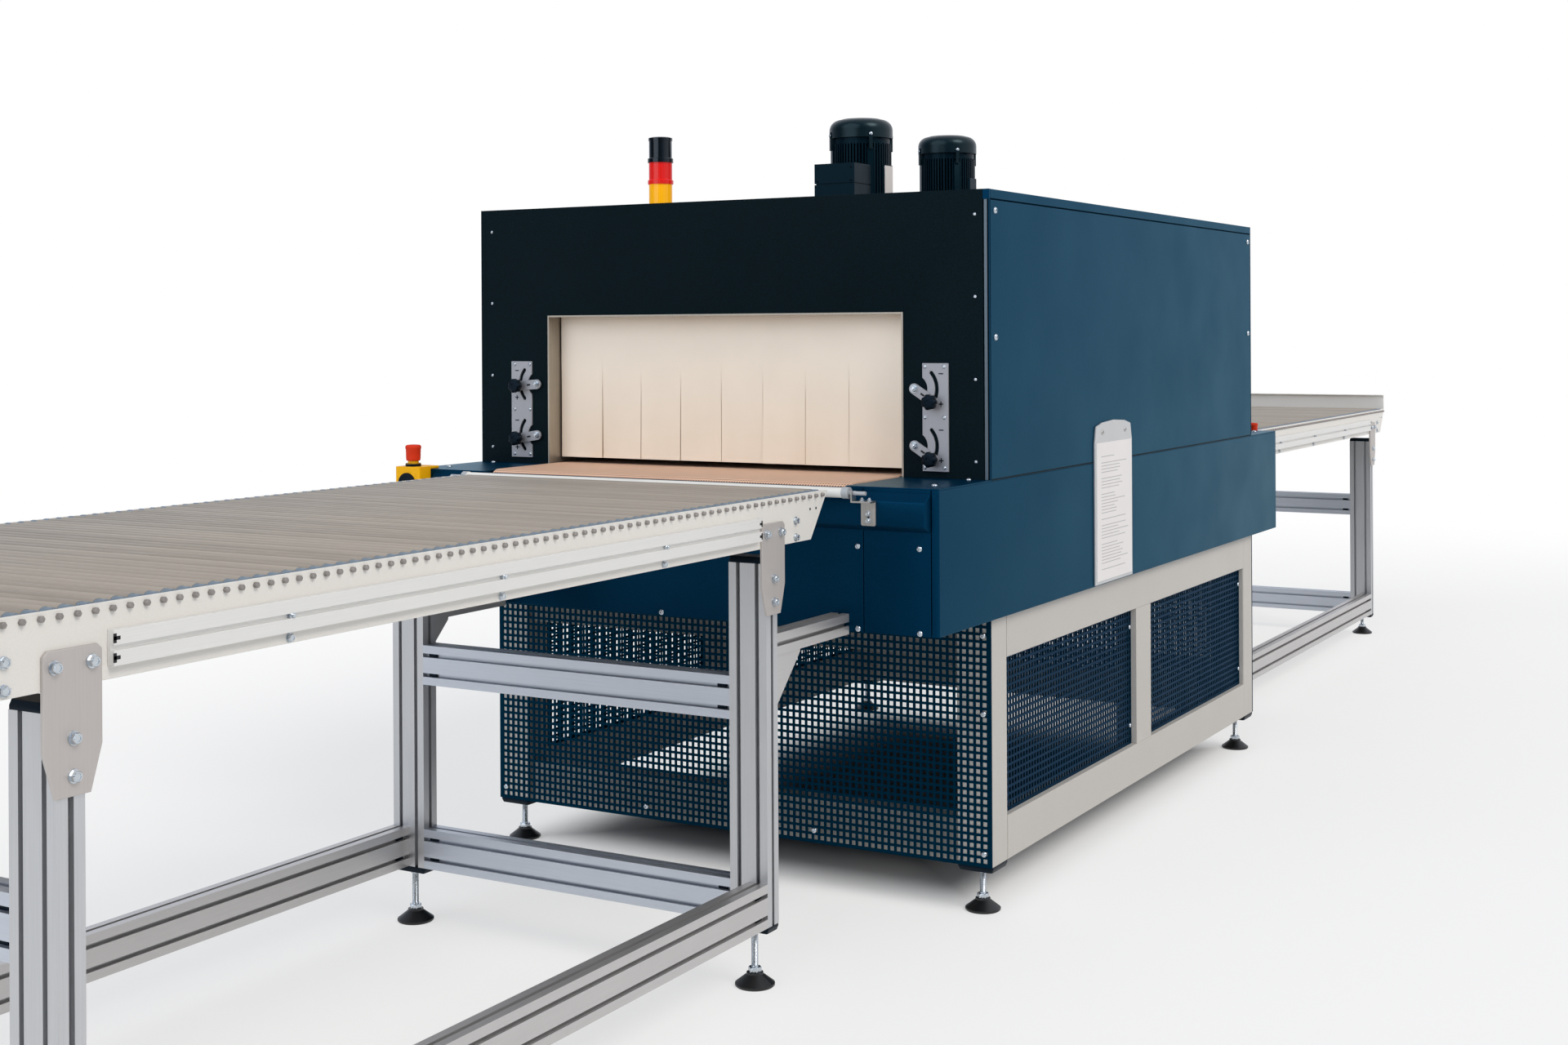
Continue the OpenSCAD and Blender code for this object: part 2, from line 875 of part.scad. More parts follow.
// Lever pointing to +X at angle set, with its pivot pin, knob and knob stud
module adjuster_lever(set) {
    head_r = pin_r * 1.7;
    slit_from = pin_r + 13;
    slit_to = slit_from + 10;
    translate([pivot_x, hood_y0, 0])
        rotate([0, -set, 0]) {
            color(stainless) {
                translate([0, lever_y, 0])
                    rotate([90, 0, 0])
                        linear_extrude(height = lever_t)
                            difference() {
                                union() {
                                    translate([0, -lever_w / 2])
                                        square([slot_r, lever_w]);
                                    circle(d = lever_w);
                                    translate([slot_r, 0])
                                        circle(d = lever_w);
                                }
                                translate([slit_from, -2])
                                    square([slit_to - slit_from, 4]);
                            }
                translate([0, panel_t + 2, 0])
                    rotate([90, 0, 0])
                        cylinder(r = pin_r, h = panel_t + 2 - knob_y);
                translate([0, knob_y, 0])
                    rotate([90, 0, 0])
                        cylinder(r = head_r, h = pin_r);
                translate([slot_r, -0.6, 0])
                    rotate([90, 0, 0])
                        cylinder(r = knob_stud_r, h = -knob_y - 0.6);
            }
            color(black)
                translate([slot_r, knob_y, 0])
                    rotate([90, 0, 0])
                        star_knob();
        }
}

module lever_right_upper() {
    translate([0, 0, pivot_z[0]])
        adjuster_lever(set_right);
}

module lever_right_lower() {
    translate([0, 0, pivot_z[1]])
        adjuster_lever(set_right);
}

module lever_left_upper() {
    translate([0, 0, pivot_z[0]])
        mirror([1, 0, 0])
            adjuster_lever(set_left_upper);
}

module lever_left_lower() {
    translate([0, 0, pivot_z[1]])
        mirror([1, 0, 0])
            adjuster_lever(set_left_lower);
}

// Signal tower: base, amber, red and black modules from the roof up
tower_base_h = 20;

module tower_part(low, tall, d) {
    translate([-tower_x, hood_y0 + tower_y, hood_top + low])
        cylinder(d = d, h = tall);
}

module signal_tower_body() {
    ring_h = 7;
    black_low = tower_base_h + 2 * tower_module;
    color(black) {
        tower_part(0, tower_base_h, tower_d + 6);
        tower_part(black_low, ring_h, tower_d + 3);
        tower_part(black_low, tower_module, tower_d - 3);
        tower_part(black_low + tower_module, ring_h, tower_d);
    }
}

module signal_tower_amber() {
    color("orange")
        tower_part(tower_base_h, tower_module, tower_d - 2);
}

module signal_tower_red() {
    ring_h = 7;
    color("firebrick") {
        tower_part(tower_base_h + tower_module, tower_module, tower_d - 2);
        tower_part(tower_base_h + tower_module, ring_h, tower_d + 2);
    }
}

// Fan motors standing on the roof
module at_motors() {
    for (i = [0, 1])
        translate([motor_x, hood_y0 + motor_y + i * motor_pitch, hood_top])
            children();
}

module motor_body() {
    core_d = motor_d * 0.78;
    fin_t = motor_d * 0.024;
    fin_d = motor_d * 0.95;
    flange_h = 12;
    tall = motor_h - cowl_h;
    fin_h = tall - flange_h - band_h;
    pad_at = core_d / 2 - 6;
    pad_d = fin_d / 2 + 2 - pad_at;
    cylinder(d = motor_d * 1.06, h = flange_h);
    cylinder(d = core_d, h = tall);
    translate([0, 0, tall - band_h])
        cylinder(d = motor_d * 0.91, h = band_h);
    translate([0, 0, flange_h]) {
        for (i = [0:fins - 1])
            rotate(i * 360 / fins)
                translate([core_d / 2 - 2, -fin_t / 2, 0])
                    cube([(fin_d - core_d) / 2 + 2, fin_t, fin_h + 2]);
        for (a = [45:90:315])
            rotate(a)
                translate([pad_at, -lug_w / 2, 0])
                    cube([pad_d, lug_w, fin_h * 0.94]);
        translate([pad_at, -flat_w / 2, 0])
            cube([pad_d, flat_w, fin_h * 0.68]);
    }
}

// Terminal box on the infeed side of the first motor
module terminal_box() {
    box_w = motor_d * 0.7;
    box_d = motor_d * 0.55;
    box_h = motor_d * 0.52;
    seam = 3;
    low_h = box_h * 0.38;
    translate([-box_w / 2, 24 - motor_d / 2 - box_d, motor_h * 0.16]) {
        cube([box_w, box_d, low_h]);
        translate([seam, seam, 0])
            cube([box_w - 2 * seam, box_d - seam, box_h]);
        translate([0, 0, low_h + seam])
            cube([box_w, box_d, box_h - low_h - seam]);
    }
}

module motor_bodies() {
    color(black) {
        at_motors()
            motor_body();
        translate([motor_x, hood_y0 + motor_y, hood_top])
            terminal_box();
    }
}

module motor_cowls() {
    round_r = cowl_h * 0.55;
    color(black)
        at_motors()
            translate([0, 0, motor_h - cowl_h])
                rotate_extrude() {
                    square([motor_d / 2, cowl_h - round_r]);
                    square([motor_d / 2 - round_r, cowl_h]);
                    intersection() {
                        translate([motor_d / 2 - round_r, cowl_h - round_r])
                            circle(r = round_r);
                        square([motor_d / 2, cowl_h]);
                    }
                }
}

// Emergency stops: a box with a black collar, its top centre at the origin
module estop_box() {
    translate([0, -estop_d / 2, -estop_h])
        difference() {
            union() {
                linear_extrude(height = estop_h)
                    round_square(estop_w, estop_d, 5);
                translate([0, 0, estop_h])
                    cylinder(r = collar_r, h = collar_h);
                translate([0, -estop_d / 2 + 1, estop_h / 2])
                    rotate([90, 0, 0])
                        cylinder(r = 23, h = 4);
            }
            translate([0, 0, estop_h + collar_h - sleeve_deep - button_travel])
                cylinder(r = sleeve_r + pin_clear, h = sleeve_deep + button_travel + 1);
        }
}

module at_front_estop() {
    translate([-estop_x, housing_y0, deck_z + estop_rise])
        children();
}

module at_rear_estop() {
    translate([estop_rear_x, housing_y1 + nose_d, deck_z - estop_rear_drop])
        rotate([0, 0, 180])
            children();
}

module estop_boxes() {
    color("gold") {
        at_front_estop()
            estop_box();
        at_rear_estop()
            estop_box();
    }
}

module estop_button() {
    edge_r = 4;
    translate([0, -estop_d / 2, collar_h]) {
        color("gold")
            translate([0, 0, 0.5 - sleeve_deep])
                cylinder(r = sleeve_r, h = sleeve_deep + sleeve_show);
        color("red")
            translate([0, 0, sleeve_show])
                rotate_extrude() {
                    square([button_r - 1, button_h - edge_r]);
                    square([button_r - edge_r, button_h]);
                    translate([button_r - edge_r, button_h - edge_r])
                        circle(r = edge_r);
                }
    }
}

module front_estop_button() {
    at_front_estop()
        estop_button();
}

module rear_estop_button() {
    at_rear_estop()
        estop_button();
}

// Document holder on the right side, its foot centre at the origin, facing +X
module at_holder() {
    translate([half_w, hood_y0 + holder_y, housing_z + holder_low])
        rotate([90, 0, 90])
            children();
}

module document_holder() {
    top = holder_h + holder_head_h;
    color("gainsboro")
        at_holder()
            linear_extrude(height = holder_t) {
                translate([-holder_w / 2, 0])
                    square([holder_w, holder_h]);
                polygon([[-holder_w / 2, holder_h], [holder_w / 2, holder_h], [holder_w * 0.46, top - 12],
                    [holder_w * 0.3, top - 4], [0, top], [-holder_w * 0.3, top - 4], [-holder_w * 0.46, top - 12]]);
            }
}

module document_sheet() {
    color("white")
        at_holder()
            translate([-holder_w / 2 + sheet_margin, sheet_margin, holder_t])
                cube([holder_w - 2 * sheet_margin, holder_h - sheet_margin, 1.5]);
}

// Transfer roller in front of the housing, its axis along X
module transfer_roller() {
    shaft_len = 2 * (hook_x + hook_t + 26);
    translate([0, -troller_off, troller_z])
        rotate([0, 90, 0]) {
            color("whitesmoke")
                cylinder(r = troller_r, h = troller_len, center = true);
            color("lightsteelblue") {
                for (end = [0, 1])
                    mirror([0, 0, end])
                        translate([0, 0, troller_len / 2])
                            cylinder(r = troller_r + 1.5, h = troller_ring);
                cylinder(r = tshaft_r, h = shaft_len, center = true);
            }
        }
}

module front_transfer_roller() {
    translate([0, housing_y0, 0])
        transfer_roller();
}

module rear_transfer_roller() {
    translate([0, housing_y1, 0])
        rotate([0, 0, 180])
            transfer_roller();
}

// Face of an angle bracket with its slot, hanging from the origin
module bracket_face() {
    slot_low = -bracket_h * 0.85;
    slot_len = bracket_h * 0.42;
    difference() {
        union() {
            translate([0, -bracket_h / 2])
                round_square(bracket_w, bracket_h, bracket_w / 8);
            translate([-bracket_w / 2, -bracket_h / 2])
                square([bracket_w, bracket_h / 2]);
        }
        translate([-bracket_slot, slot_low])
            square([2 * bracket_slot, slot_len]);
        for (z = [slot_low, slot_low + slot_len])
            translate([0, z])
                circle(r = bracket_slot);
    }
}

// Angle bracket on the nose cover with a hook that carries a shaft end
module transfer_bracket() {
    hook_half = tshaft_r + 5;
    reach = troller_off - nose_d + hook_half;
    color(stainless) {
        translate([bracket_x + bracket_w / 2, -nose_d, bracket_z])
            rotate([90, 0, 0])
                linear_extrude(height = hook_t)
                    bracket_face();
        span([bracket_x, -nose_d - reach, bracket_z], [bracket_x + bracket_w, -nose_d, bracket_z + hook_t]);
        span([hook_x, -troller_off - hook_half, bracket_z], [bracket_x, -troller_off + hook_half, bracket_z + hook_t]);
        translate([hook_x, -troller_off, 0])
            difference() {
                span([0, -hook_half, bracket_z], [hook_t, hook_half, troller_z + tshaft_r]);
                translate([-1, 0, troller_z])
                    rotate([0, 90, 0])
                        cylinder(r = tshaft_r + pin_clear, h = hook_t + 2);
                span([-1, -tshaft_r - pin_clear, troller_z], [hook_t + 1, tshaft_r + pin_clear, troller_z + 2 * tshaft_r]);
            }
    }
}

module transfer_brackets() {
    both_ends()
        both_sides()
            transfer_bracket();
}

// Roller tables, both shifted sideways from the centre line
module table_sides() {
    translate([table_shift, 0, 0])
        both_sides()
            children();
}

module side_rail(y0, y1, top) {
    low = top - trail_h;
    translate([rail_half - trail_t, 0, 0])
        rotate([90, 0, 90])
            linear_extrude(height = trail_t)
                polygon([[y0, top], [y0 + trail_chamfer, low], [y1 - trail_chamfer, low], [y1, top]]);
    span([rail_half - trail_flange, y0 + trail_chamfer, low], [rail_half - trail_t, y1 - trail_chamfer, low + trail_t]);
}

module table_side_rails() {
    color(white_paint)
        table_sides()
            for (t = TABLES)
                side_rail(t[0], t[1], t[2]);
}

module roller_bed(y0, y1, top) {
    count = floor((y1 - y0 - 2 * roller_end) / roller_pitch);
    first = (y0 + y1) / 2 - count * roller_pitch / 2;
    shaft_len = table_w - 2 * trail_t;
    for (i = [0:count])
        translate([table_shift, first + i * roller_pitch, top + roller_rise - roller_r])
            rotate([0, 90, 0]) {
                cylinder(r = roller_r, h = shaft_len - 2 * roller_side_gap, center = true, $fn = 32);
                cylinder(r = roller_shaft_r, h = shaft_len, center = true, $fn = 16);
            }
}

module infeed_rollers() {
    color([0.63, 0.59, 0.55])
        roller_bed(infeed_y0, infeed_y1, infeed_top);
}

module outfeed_rollers() {
    color([0.63, 0.59, 0.55])
        roller_bed(outfeed_y0, outfeed_y1, outfeed_top);
}

// Slotted beam bolted to the outside of a rail between the leg plates
module table_side_beams() {
    inset = leg_end + plate_half + beam_gap;
    groove_half = beam_groove / 2;
    color(alu)
        table_sides()
            for (t = TABLES) {
                low = t[2] - trail_h + beam_low;
                mid = low + beam_h / 2;
                difference() {
                    span([rail_half, t[0] + inset, low], [rail_half + beam_d, t[1] - inset, low + beam_h]);
                    span([rail_half + beam_d / 2, t[0] + inset - 1, mid - groove_half],
                        [rail_half + beam_d + 1, t[1] - inset + 1, mid + groove_half]);
                }
            }
}

module table_legs() {
    color(alu)
        for (x = [-1, 1], leg = LEGS)
            translate([table_shift + x * (rail_half - leg_width / 2), leg[0], leg[2]])
                profile_post(2, 1, leg[1] - trail_h - leg_drop - leg[2]);
}

module table_cross_beams() {
    color(alu)
        for (leg = LEGS, z = [leg[2], leg[1] - cross_drop])
            translate([table_shift, leg[0], z + profile])
                profile_along_x(1, 2, table_w - 2 * leg_width);
}

module table_lower_beams() {
    color(alu)
        for (x = [-1, 1], t = TABLES)
            translate([table_shift + x * (rail_half - profile / 2), (t[0] + t[1]) / 2, t[3] + profile])
                profile_along_y(1, 2, t[1] - t[0] - 2 * leg_end - leg_depth);
}

// Plate that joins a leg to its rail, tapered below
module leg_plates() {
    foot_half = plate_half * 0.6;
    corner = 6;
    taper = leg_plate_h * 0.68;
    color(stainless)
        table_sides()
            for (leg = LEGS)
                translate([rail_half, leg[0], leg[1] - trail_h + leg_plate_up])
                    rotate([90, 0, 90])
                        linear_extrude(height = leg_plate_t)
                            polygon([[corner - plate_half, 0], [plate_half - corner, 0], [plate_half, -corner],
                                [plate_half, -taper], [foot_half, -leg_plate_h], [-foot_half, -leg_plate_h],
                                [-plate_half, -taper], [-plate_half, -corner]]);
}

// Short beam from a leg towards the housing, with a triangular bracket under it
module dock_beam(top) {
    reach = leg_end + dock_gap - leg_depth / 2;
    bracket_half = profile * 0.4;
    low = top - dock_drop;
    translate([rail_half - profile / 2, reach / 2, low + profile / 2])
        profile_along_y(1, 1, reach);
    translate([rail_half - profile / 2 - bracket_half, 0, low])
        rotate([90, 0, 90])
            linear_extrude(height = 2 * bracket_half)
                polygon([[0, 0], [gusset, 0], [gusset, -6], [6, -gusset], [0, -gusset]]);
}

module dock_beams() {
    color(alu)
        table_sides() {
            translate([0, infeed_y1 - leg_end + leg_depth / 2, 0])
                dock_beam(infeed_top);
            translate([0, outfeed_y0 + leg_end - leg_depth / 2, 0])
                mirror([0, 1, 0])
                    dock_beam(outfeed_top);
        }
}

// Raised stop plate across the far end of the outfeed table
module outfeed_end_stop() {
    y = outfeed_y1 - stop_in;
    high = outfeed_top + stop_h;
    color(white_paint)
        translate([table_shift, 0, 0]) {
            span([-rail_half, y - sheet, outfeed_top], [rail_half, y, high]);
            span([-rail_half, y - stop_fold, high - sheet], [rail_half, y, high]);
        }
}

frame_posts();
frame_rails();
end_caps();
foot_studs();
foot_pads();
end_guards();
side_guards();
housing_floor();
housing_side_panels();
housing_end_panels();
nose_covers();
decks();
belt();
belt_bed();
belt_drums();
hood_side_panels();
hood_roof();
front_panel();
rear_panel();
corner_trims();
chamber_lining();
front_curtain();
rear_curtain();
adjuster_plates();
lever_right_upper();
lever_right_lower();
lever_left_upper();
lever_left_lower();
signal_tower_body();
signal_tower_amber();
signal_tower_red();
motor_bodies();
motor_cowls();
estop_boxes();
front_estop_button();
rear_estop_button();
document_holder();
document_sheet();
front_transfer_roller();
rear_transfer_roller();
transfer_brackets();
table_side_rails();
infeed_rollers();
outfeed_rollers();
table_side_beams();
table_legs();
table_cross_beams();
table_lower_beams();
leg_plates();
dock_beams();
outfeed_end_stop();
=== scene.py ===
"""Heat shrink tunnel with two docked roller tables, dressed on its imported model.

Each sub-assembly is a class that builds its own meshes and gives them their finishes. Lengths are in
metres, in the frame of the part: +Y is the direction of travel, +X is to the right, +Z is up.
"""
import json
import logging
import math
import random
from dataclasses import dataclass
from enum import Enum
from itertools import product
from typing import List, Mapping, Sequence, Tuple, Union

import bmesh
import bpy
from mathutils import Matrix, Vector


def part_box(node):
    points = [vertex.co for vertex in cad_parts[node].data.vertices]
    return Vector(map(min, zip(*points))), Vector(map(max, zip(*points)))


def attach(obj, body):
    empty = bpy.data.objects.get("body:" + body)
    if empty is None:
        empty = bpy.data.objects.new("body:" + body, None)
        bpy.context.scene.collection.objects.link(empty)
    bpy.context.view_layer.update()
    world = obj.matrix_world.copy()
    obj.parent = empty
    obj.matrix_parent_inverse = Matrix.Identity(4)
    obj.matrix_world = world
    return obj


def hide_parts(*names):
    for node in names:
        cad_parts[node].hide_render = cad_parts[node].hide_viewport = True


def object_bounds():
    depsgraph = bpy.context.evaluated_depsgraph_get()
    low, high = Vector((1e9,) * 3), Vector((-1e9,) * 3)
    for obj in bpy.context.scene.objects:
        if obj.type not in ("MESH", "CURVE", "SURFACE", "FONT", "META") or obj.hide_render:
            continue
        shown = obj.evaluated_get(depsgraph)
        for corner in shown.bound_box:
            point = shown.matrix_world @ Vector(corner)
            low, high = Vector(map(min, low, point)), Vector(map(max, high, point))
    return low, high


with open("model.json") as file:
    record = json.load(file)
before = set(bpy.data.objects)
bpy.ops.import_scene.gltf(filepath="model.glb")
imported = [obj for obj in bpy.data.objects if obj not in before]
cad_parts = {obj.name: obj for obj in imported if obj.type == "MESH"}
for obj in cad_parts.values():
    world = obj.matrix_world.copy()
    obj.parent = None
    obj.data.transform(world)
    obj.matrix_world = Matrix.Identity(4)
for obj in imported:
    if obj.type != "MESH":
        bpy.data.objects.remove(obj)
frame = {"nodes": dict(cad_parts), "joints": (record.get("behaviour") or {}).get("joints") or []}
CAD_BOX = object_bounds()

LOG = logging.getLogger("shrink_tunnel")
BODY = "line_body"
BUTTONS = ("front_estop_button", "rear_estop_button")
CRISP = 18.0
ROUNDED = 50.0
UP = (0, 0, 1)
AHEAD = (0, -1, 0)
WHITE = (1, 1, 1, 1)
Colour = Tuple[int, int, int]
Point = Sequence[float]


def linear(colour: Colour, gain: float = 1.0) -> Tuple[float, float, float, float]:
    """Turn a screen colour into a linear one.

    Args:
        colour: Red, green and blue from 0 to 255.
        gain: Factor on the linear values.

    Returns:
        Linear red, green, blue and a full alpha.
    """
    parts = []
    for value in colour:
        c = value / 255
        c = c / 12.92 if c <= 0.04045 else ((c + 0.055) / 1.055) ** 2.4
        parts.append(min(1.0, c * gain))
    return (parts[0], parts[1], parts[2], 1.0)


class Sock:
    """A shader socket that takes part in Python arithmetic."""

    def __init__(self, shader: "Graph", socket: bpy.types.NodeSocket) -> None:
        """Hold one output socket and the node tree it belongs to."""
        self.shader = shader
        self.socket = socket

    def out(self, name: Union[int, str]) -> "Sock":
        """Give another output of the same node."""
        return Sock(self.shader, self.socket.node.outputs[name])

    def math(self, operation: str, *values: Union["Sock", float]) -> "Sock":
        """Add a Math node.

        Args:
            operation: The node's operation.
            values: Its inputs in order, sockets or numbers.

        Returns:
            The node's value.
        """
        return self.shader.node("ShaderNodeMath", {"operation": operation}, dict(enumerate(values)))

    def __add__(self, other: Union["Sock", float]) -> "Sock":
        """Sum."""
        return self.math("ADD", self, other)

    __radd__ = __add__

    def __sub__(self, other: Union["Sock", float]) -> "Sock":
        """Difference."""
        return self.math("SUBTRACT", self, other)

    def __rsub__(self, other: float) -> "Sock":
        """Difference from a number."""
        return self.math("SUBTRACT", other, self)

    def __mul__(self, other: Union["Sock", float]) -> "Sock":
        """Product."""
        return self.math("MULTIPLY", self, other)

    __rmul__ = __mul__

    def __truediv__(self, other: Union["Sock", float]) -> "Sock":
        """Quotient."""
        return self.math("DIVIDE", self, other)

    def __gt__(self, other: Union["Sock", float]) -> "Sock":
        """One where this is the greater, else zero."""
        return self.math("GREATER_THAN", self, other)

    def __lt__(self, other: Union["Sock", float]) -> "Sock":
        """One where this is the less, else zero."""
        return self.math("LESS_THAN", self, other)

    def __abs__(self) -> "Sock":
        """Size without sign."""
        return self.math("ABSOLUTE", self)

    def fract(self) -> "Sock":
        """Part after the decimal point."""
        return self.math("FRACT", self)

    def floor(self) -> "Sock":
        """Whole number below."""
        return self.math("FLOOR", self)

    def sin(self) -> "Sock":
        """Sine."""
        return self.math("SINE", self)

    def step(self, low: float, high: float) -> "Sock":
        """Rise smoothly from 0 at low to 1 at high."""
        inputs = {"Value": self, "From Min": low, "From Max": high}
        return self.shader.node("ShaderNodeMapRange", {"interpolation_type": "SMOOTHSTEP"}, inputs)


class Graph:
    """The node tree of a material or of the world."""

    def __init__(self, owner: Union[bpy.types.Material, bpy.types.World]) -> None:
        """Start an empty tree."""
        owner.use_nodes = True
        self.tree = owner.node_tree
        self.tree.nodes.clear()

    def node(self, kind: str, settings: Mapping[str, object], inputs: Mapping[Union[int, str], object],
             output: Union[int, str] = 0) -> Sock:
        """Add any node.

        Args:
            kind: The node's type.
            settings: Its properties, set first.
            inputs: Values or sockets by input name or number.
            output: The output to hand back.

        Returns:
            The chosen output.
        """
        made = self.tree.nodes.new(kind)
        for key, value in settings.items():
            setattr(made, key, value)
        self.feed(made, inputs)
        return Sock(self, made.outputs[output])

    def feed(self, made: bpy.types.Node, inputs: Mapping[Union[int, str], object]) -> None:
        """Set or link the inputs of a node."""
        for key, value in inputs.items():
            if isinstance(value, Sock):
                self.tree.links.new(value.socket, made.inputs[key])
            else:
                made.inputs[key].default_value = value

    def mix(self, factor: Union[Sock, float], first: object, second: object) -> Sock:
        """Blend two colours by a factor."""
        return self.node("ShaderNodeMix", {"data_type": "RGBA"}, {0: factor, 6: first, 7: second}, 2)

    def blend(self, factor: Sock, first: Sock, second: Sock) -> Sock:
        """Blend two shaders by a factor."""
        return self.node("ShaderNodeMixShader", {}, {0: factor, 1: first, 2: second})

    def watched(self) -> Tuple[Sock, Sock]:
        """Tell which rays come from the eye, and which from a mirror or through glass."""
        path = self.node("ShaderNodeLightPath", {}, {}, "Is Camera Ray")
        mirrored = path.math("MAXIMUM", path.out("Is Glossy Ray"), path.out("Is Transmission Ray"))
        return path, mirrored


class Shader(Graph):
    """A material's node tree round one Principled shader."""

    def __init__(self, name: str) -> None:
        """Start a material with its shader, its output and the place on the part."""
        self.material = bpy.data.materials.new(name)
        super().__init__(self.material)
        self.bsdf = self.tree.nodes.new("ShaderNodeBsdfPrincipled")
        self.end = self.tree.nodes.new("ShaderNodeOutputMaterial")
        self.feed(self.end, {"Surface": Sock(self, self.bsdf.outputs[0])})
        self.place = self.node("ShaderNodeTexCoord", {}, {}, "Object")
        split = self.node("ShaderNodeSeparateXYZ", {}, {0: self.place})
        self.x, self.y, self.z = split, split.out(1), split.out(2)

    def noise(self, size: float, detail: float = 2.0, stretch: Point = (1, 1, 1)) -> Sock:
        """Soft noise.

        Args:
            size: Breadth of a blotch in metres.
            detail: Number of finer layers.
            stretch: Factor on the frequency along each axis.

        Returns:
            Values about 0.5.
        """
        spread = {0: self.place, 1: tuple(stretch)}
        where = self.node("ShaderNodeVectorMath", {"operation": "MULTIPLY"}, spread)
        return self.node("ShaderNodeTexNoise", {}, {"Vector": where, "Scale": 1 / size, "Detail": detail})

    def bump(self, height: Sock, distance: float) -> Sock:
        """Turn a height into a normal."""
        return self.node("ShaderNodeBump", {}, {"Height": height, "Distance": distance, "Strength": 1.0})

    def chance(self, cell: Sock) -> Sock:
        """Give each whole number its own random value from 0 to 1."""
        return self.node("ShaderNodeTexWhiteNoise", {"noise_dimensions": "1D"}, {"W": cell})

    def surface(self, inputs: Mapping[str, object]) -> None:
        """Set the Principled shader's sockets."""
        self.feed(self.bsdf, inputs)


@dataclass(frozen=True)
class Finish:
    """A painted or moulded surface with mottled colour, uneven gloss and a fine grain."""

    label: str
    colour: Colour
    roughness: float = 0.5
    metallic: float = 0.0
    specular: float = 0.5
    sheen: Colour = (255, 255, 255)
    coat: float = 0.0
    slot: str = ""
    swing: float = 0.18
    mottle: float = 0.10
    mottle_size: float = 0.11
    grain_size: float = 0.0025
    grain: float = 0.00006

    def material(self) -> bpy.types.Material:
        """Make the material once and hand it out after that."""
        name = self.label + "_finish"
        made = bpy.data.materials.get(name)
        if made is None:
            shader = Shader(name)
            shader.surface({
                "Base Color": self.tone(shader), "Roughness": self.gloss(shader), "Metallic": self.metallic,
                "Specular IOR Level": self.specular, "Specular Tint": linear(self.sheen),
                "Coat Weight": self.coat, "Coat Roughness": 0.08, "Normal": self.relief(shader)})
            self.extra(shader)
            made = shader.material
        return made

    def blotch(self, s: Shader, base: Colour) -> Sock:
        """A colour that wanders a little lighter and darker."""
        wander = s.noise(self.mottle_size, 4.0)
        return s.mix(wander, linear(base, 1 - self.mottle), linear(base, 1 + self.mottle))

    def tone(self, s: Shader) -> Sock:
        """Base colour."""
        return self.blotch(s, self.colour)

    def gloss(self, s: Shader) -> Sock:
        """Roughness."""
        return (self.roughness - self.swing / 2) + self.swing * s.noise(self.mottle_size * 0.6, 3.0)

    def relief(self, s: Shader) -> Sock:
        """Normal from the grain."""
        return s.bump(s.noise(self.grain_size, 2.0), self.grain)

    def extra(self, s: Shader) -> None:
        """Anything more that the kind of surface needs."""


@dataclass(frozen=True)
class PowderCoat(Finish):
    """Powder coat: orange peel and a fine sparkle of grain over a mottled colour."""

    speck: float = 0.16
    speck_size: float = 0.0022
    peel_size: float = 0.006
    fine_size: float = 0.0018

    def tone(self, s: Shader) -> Sock:
        """Colour with a fine grain of lighter and darker specks."""
        fine = s.noise(self.speck_size, 1.0).step(0.3, 0.7)
        dark = s.mix(fine, linear(self.colour, 1 - self.speck), linear(self.colour, 1 + self.speck))
        return s.mix(0.5, dark, self.blotch(s, self.colour))

    def relief(self, s: Shader) -> Sock:
        """Orange peel with a finer grain on it."""
        peel = s.noise(self.peel_size, 1.0) + 0.35 * s.noise(self.fine_size, 1.0)
        return s.bump(peel, self.grain)


@dataclass(frozen=True)
class Brushed(Finish):
    """Rolled, ground or drawn metal with fine lines along one axis."""

    along: int = 2
    line: float = 0.0016
    draw: float = 0.015
    streak: float = 0.16
    swing: float = 0.20

    def lines(self, s: Shader) -> Sock:
        """Fine lines along the axis of the grain."""
        stretch = [1.0, 1.0, 1.0]
        stretch[self.along] = self.draw
        return s.noise(self.line, 3.0, stretch)

    def tone(self, s: Shader) -> Sock:
        """Colour streaked along the grain."""
        low, high = linear(self.colour, 1 - self.streak), linear(self.colour, 1 + self.streak)
        return s.mix(0.4, s.mix(self.lines(s).step(0.25, 0.75), low, high), self.blotch(s, self.colour))

    def gloss(self, s: Shader) -> Sock:
        """Roughness that changes from line to line."""
        return (self.roughness - self.swing / 2) + self.swing * self.lines(s)

    def relief(self, s: Shader) -> Sock:
        """Normal from the lines."""
        return s.bump(self.lines(s), self.grain)


@dataclass(frozen=True)
class RollerTube(Finish):
    """Grey roller tubes, each of a slightly different shade, scuffed by the loads."""

    pitch: float = 0.025
    scuff_size: float = 0.012
    scuff_share: float = 0.35

    def tone(self, s: Shader) -> Sock:
        """One shade a tube, with scuffs along it."""
        shade = s.chance((s.y / self.pitch).floor())
        base = s.mix(shade, linear(self.colour, 0.86), linear(self.colour, 1.10))
        scuff = s.noise(self.scuff_size, 4.0, (0.12, 1.0, 1.0)).step(0.4, 0.8)
        return s.mix(scuff * self.scuff_share, base, linear(self.colour, 1.22))


@dataclass(frozen=True)
class Banded(Finish):
    """A tube of one colour between ends of another, split by distance from the middle of the line."""

    half: float = 0.465
    end_colour: Colour = (168, 172, 176)

    def tone(self, s: Shader) -> Sock:
        """The tube's colour between the ends."""
        end = abs(s.x) > self.half
        return s.mix(end, self.blotch(s, self.colour), self.blotch(s, self.end_colour))


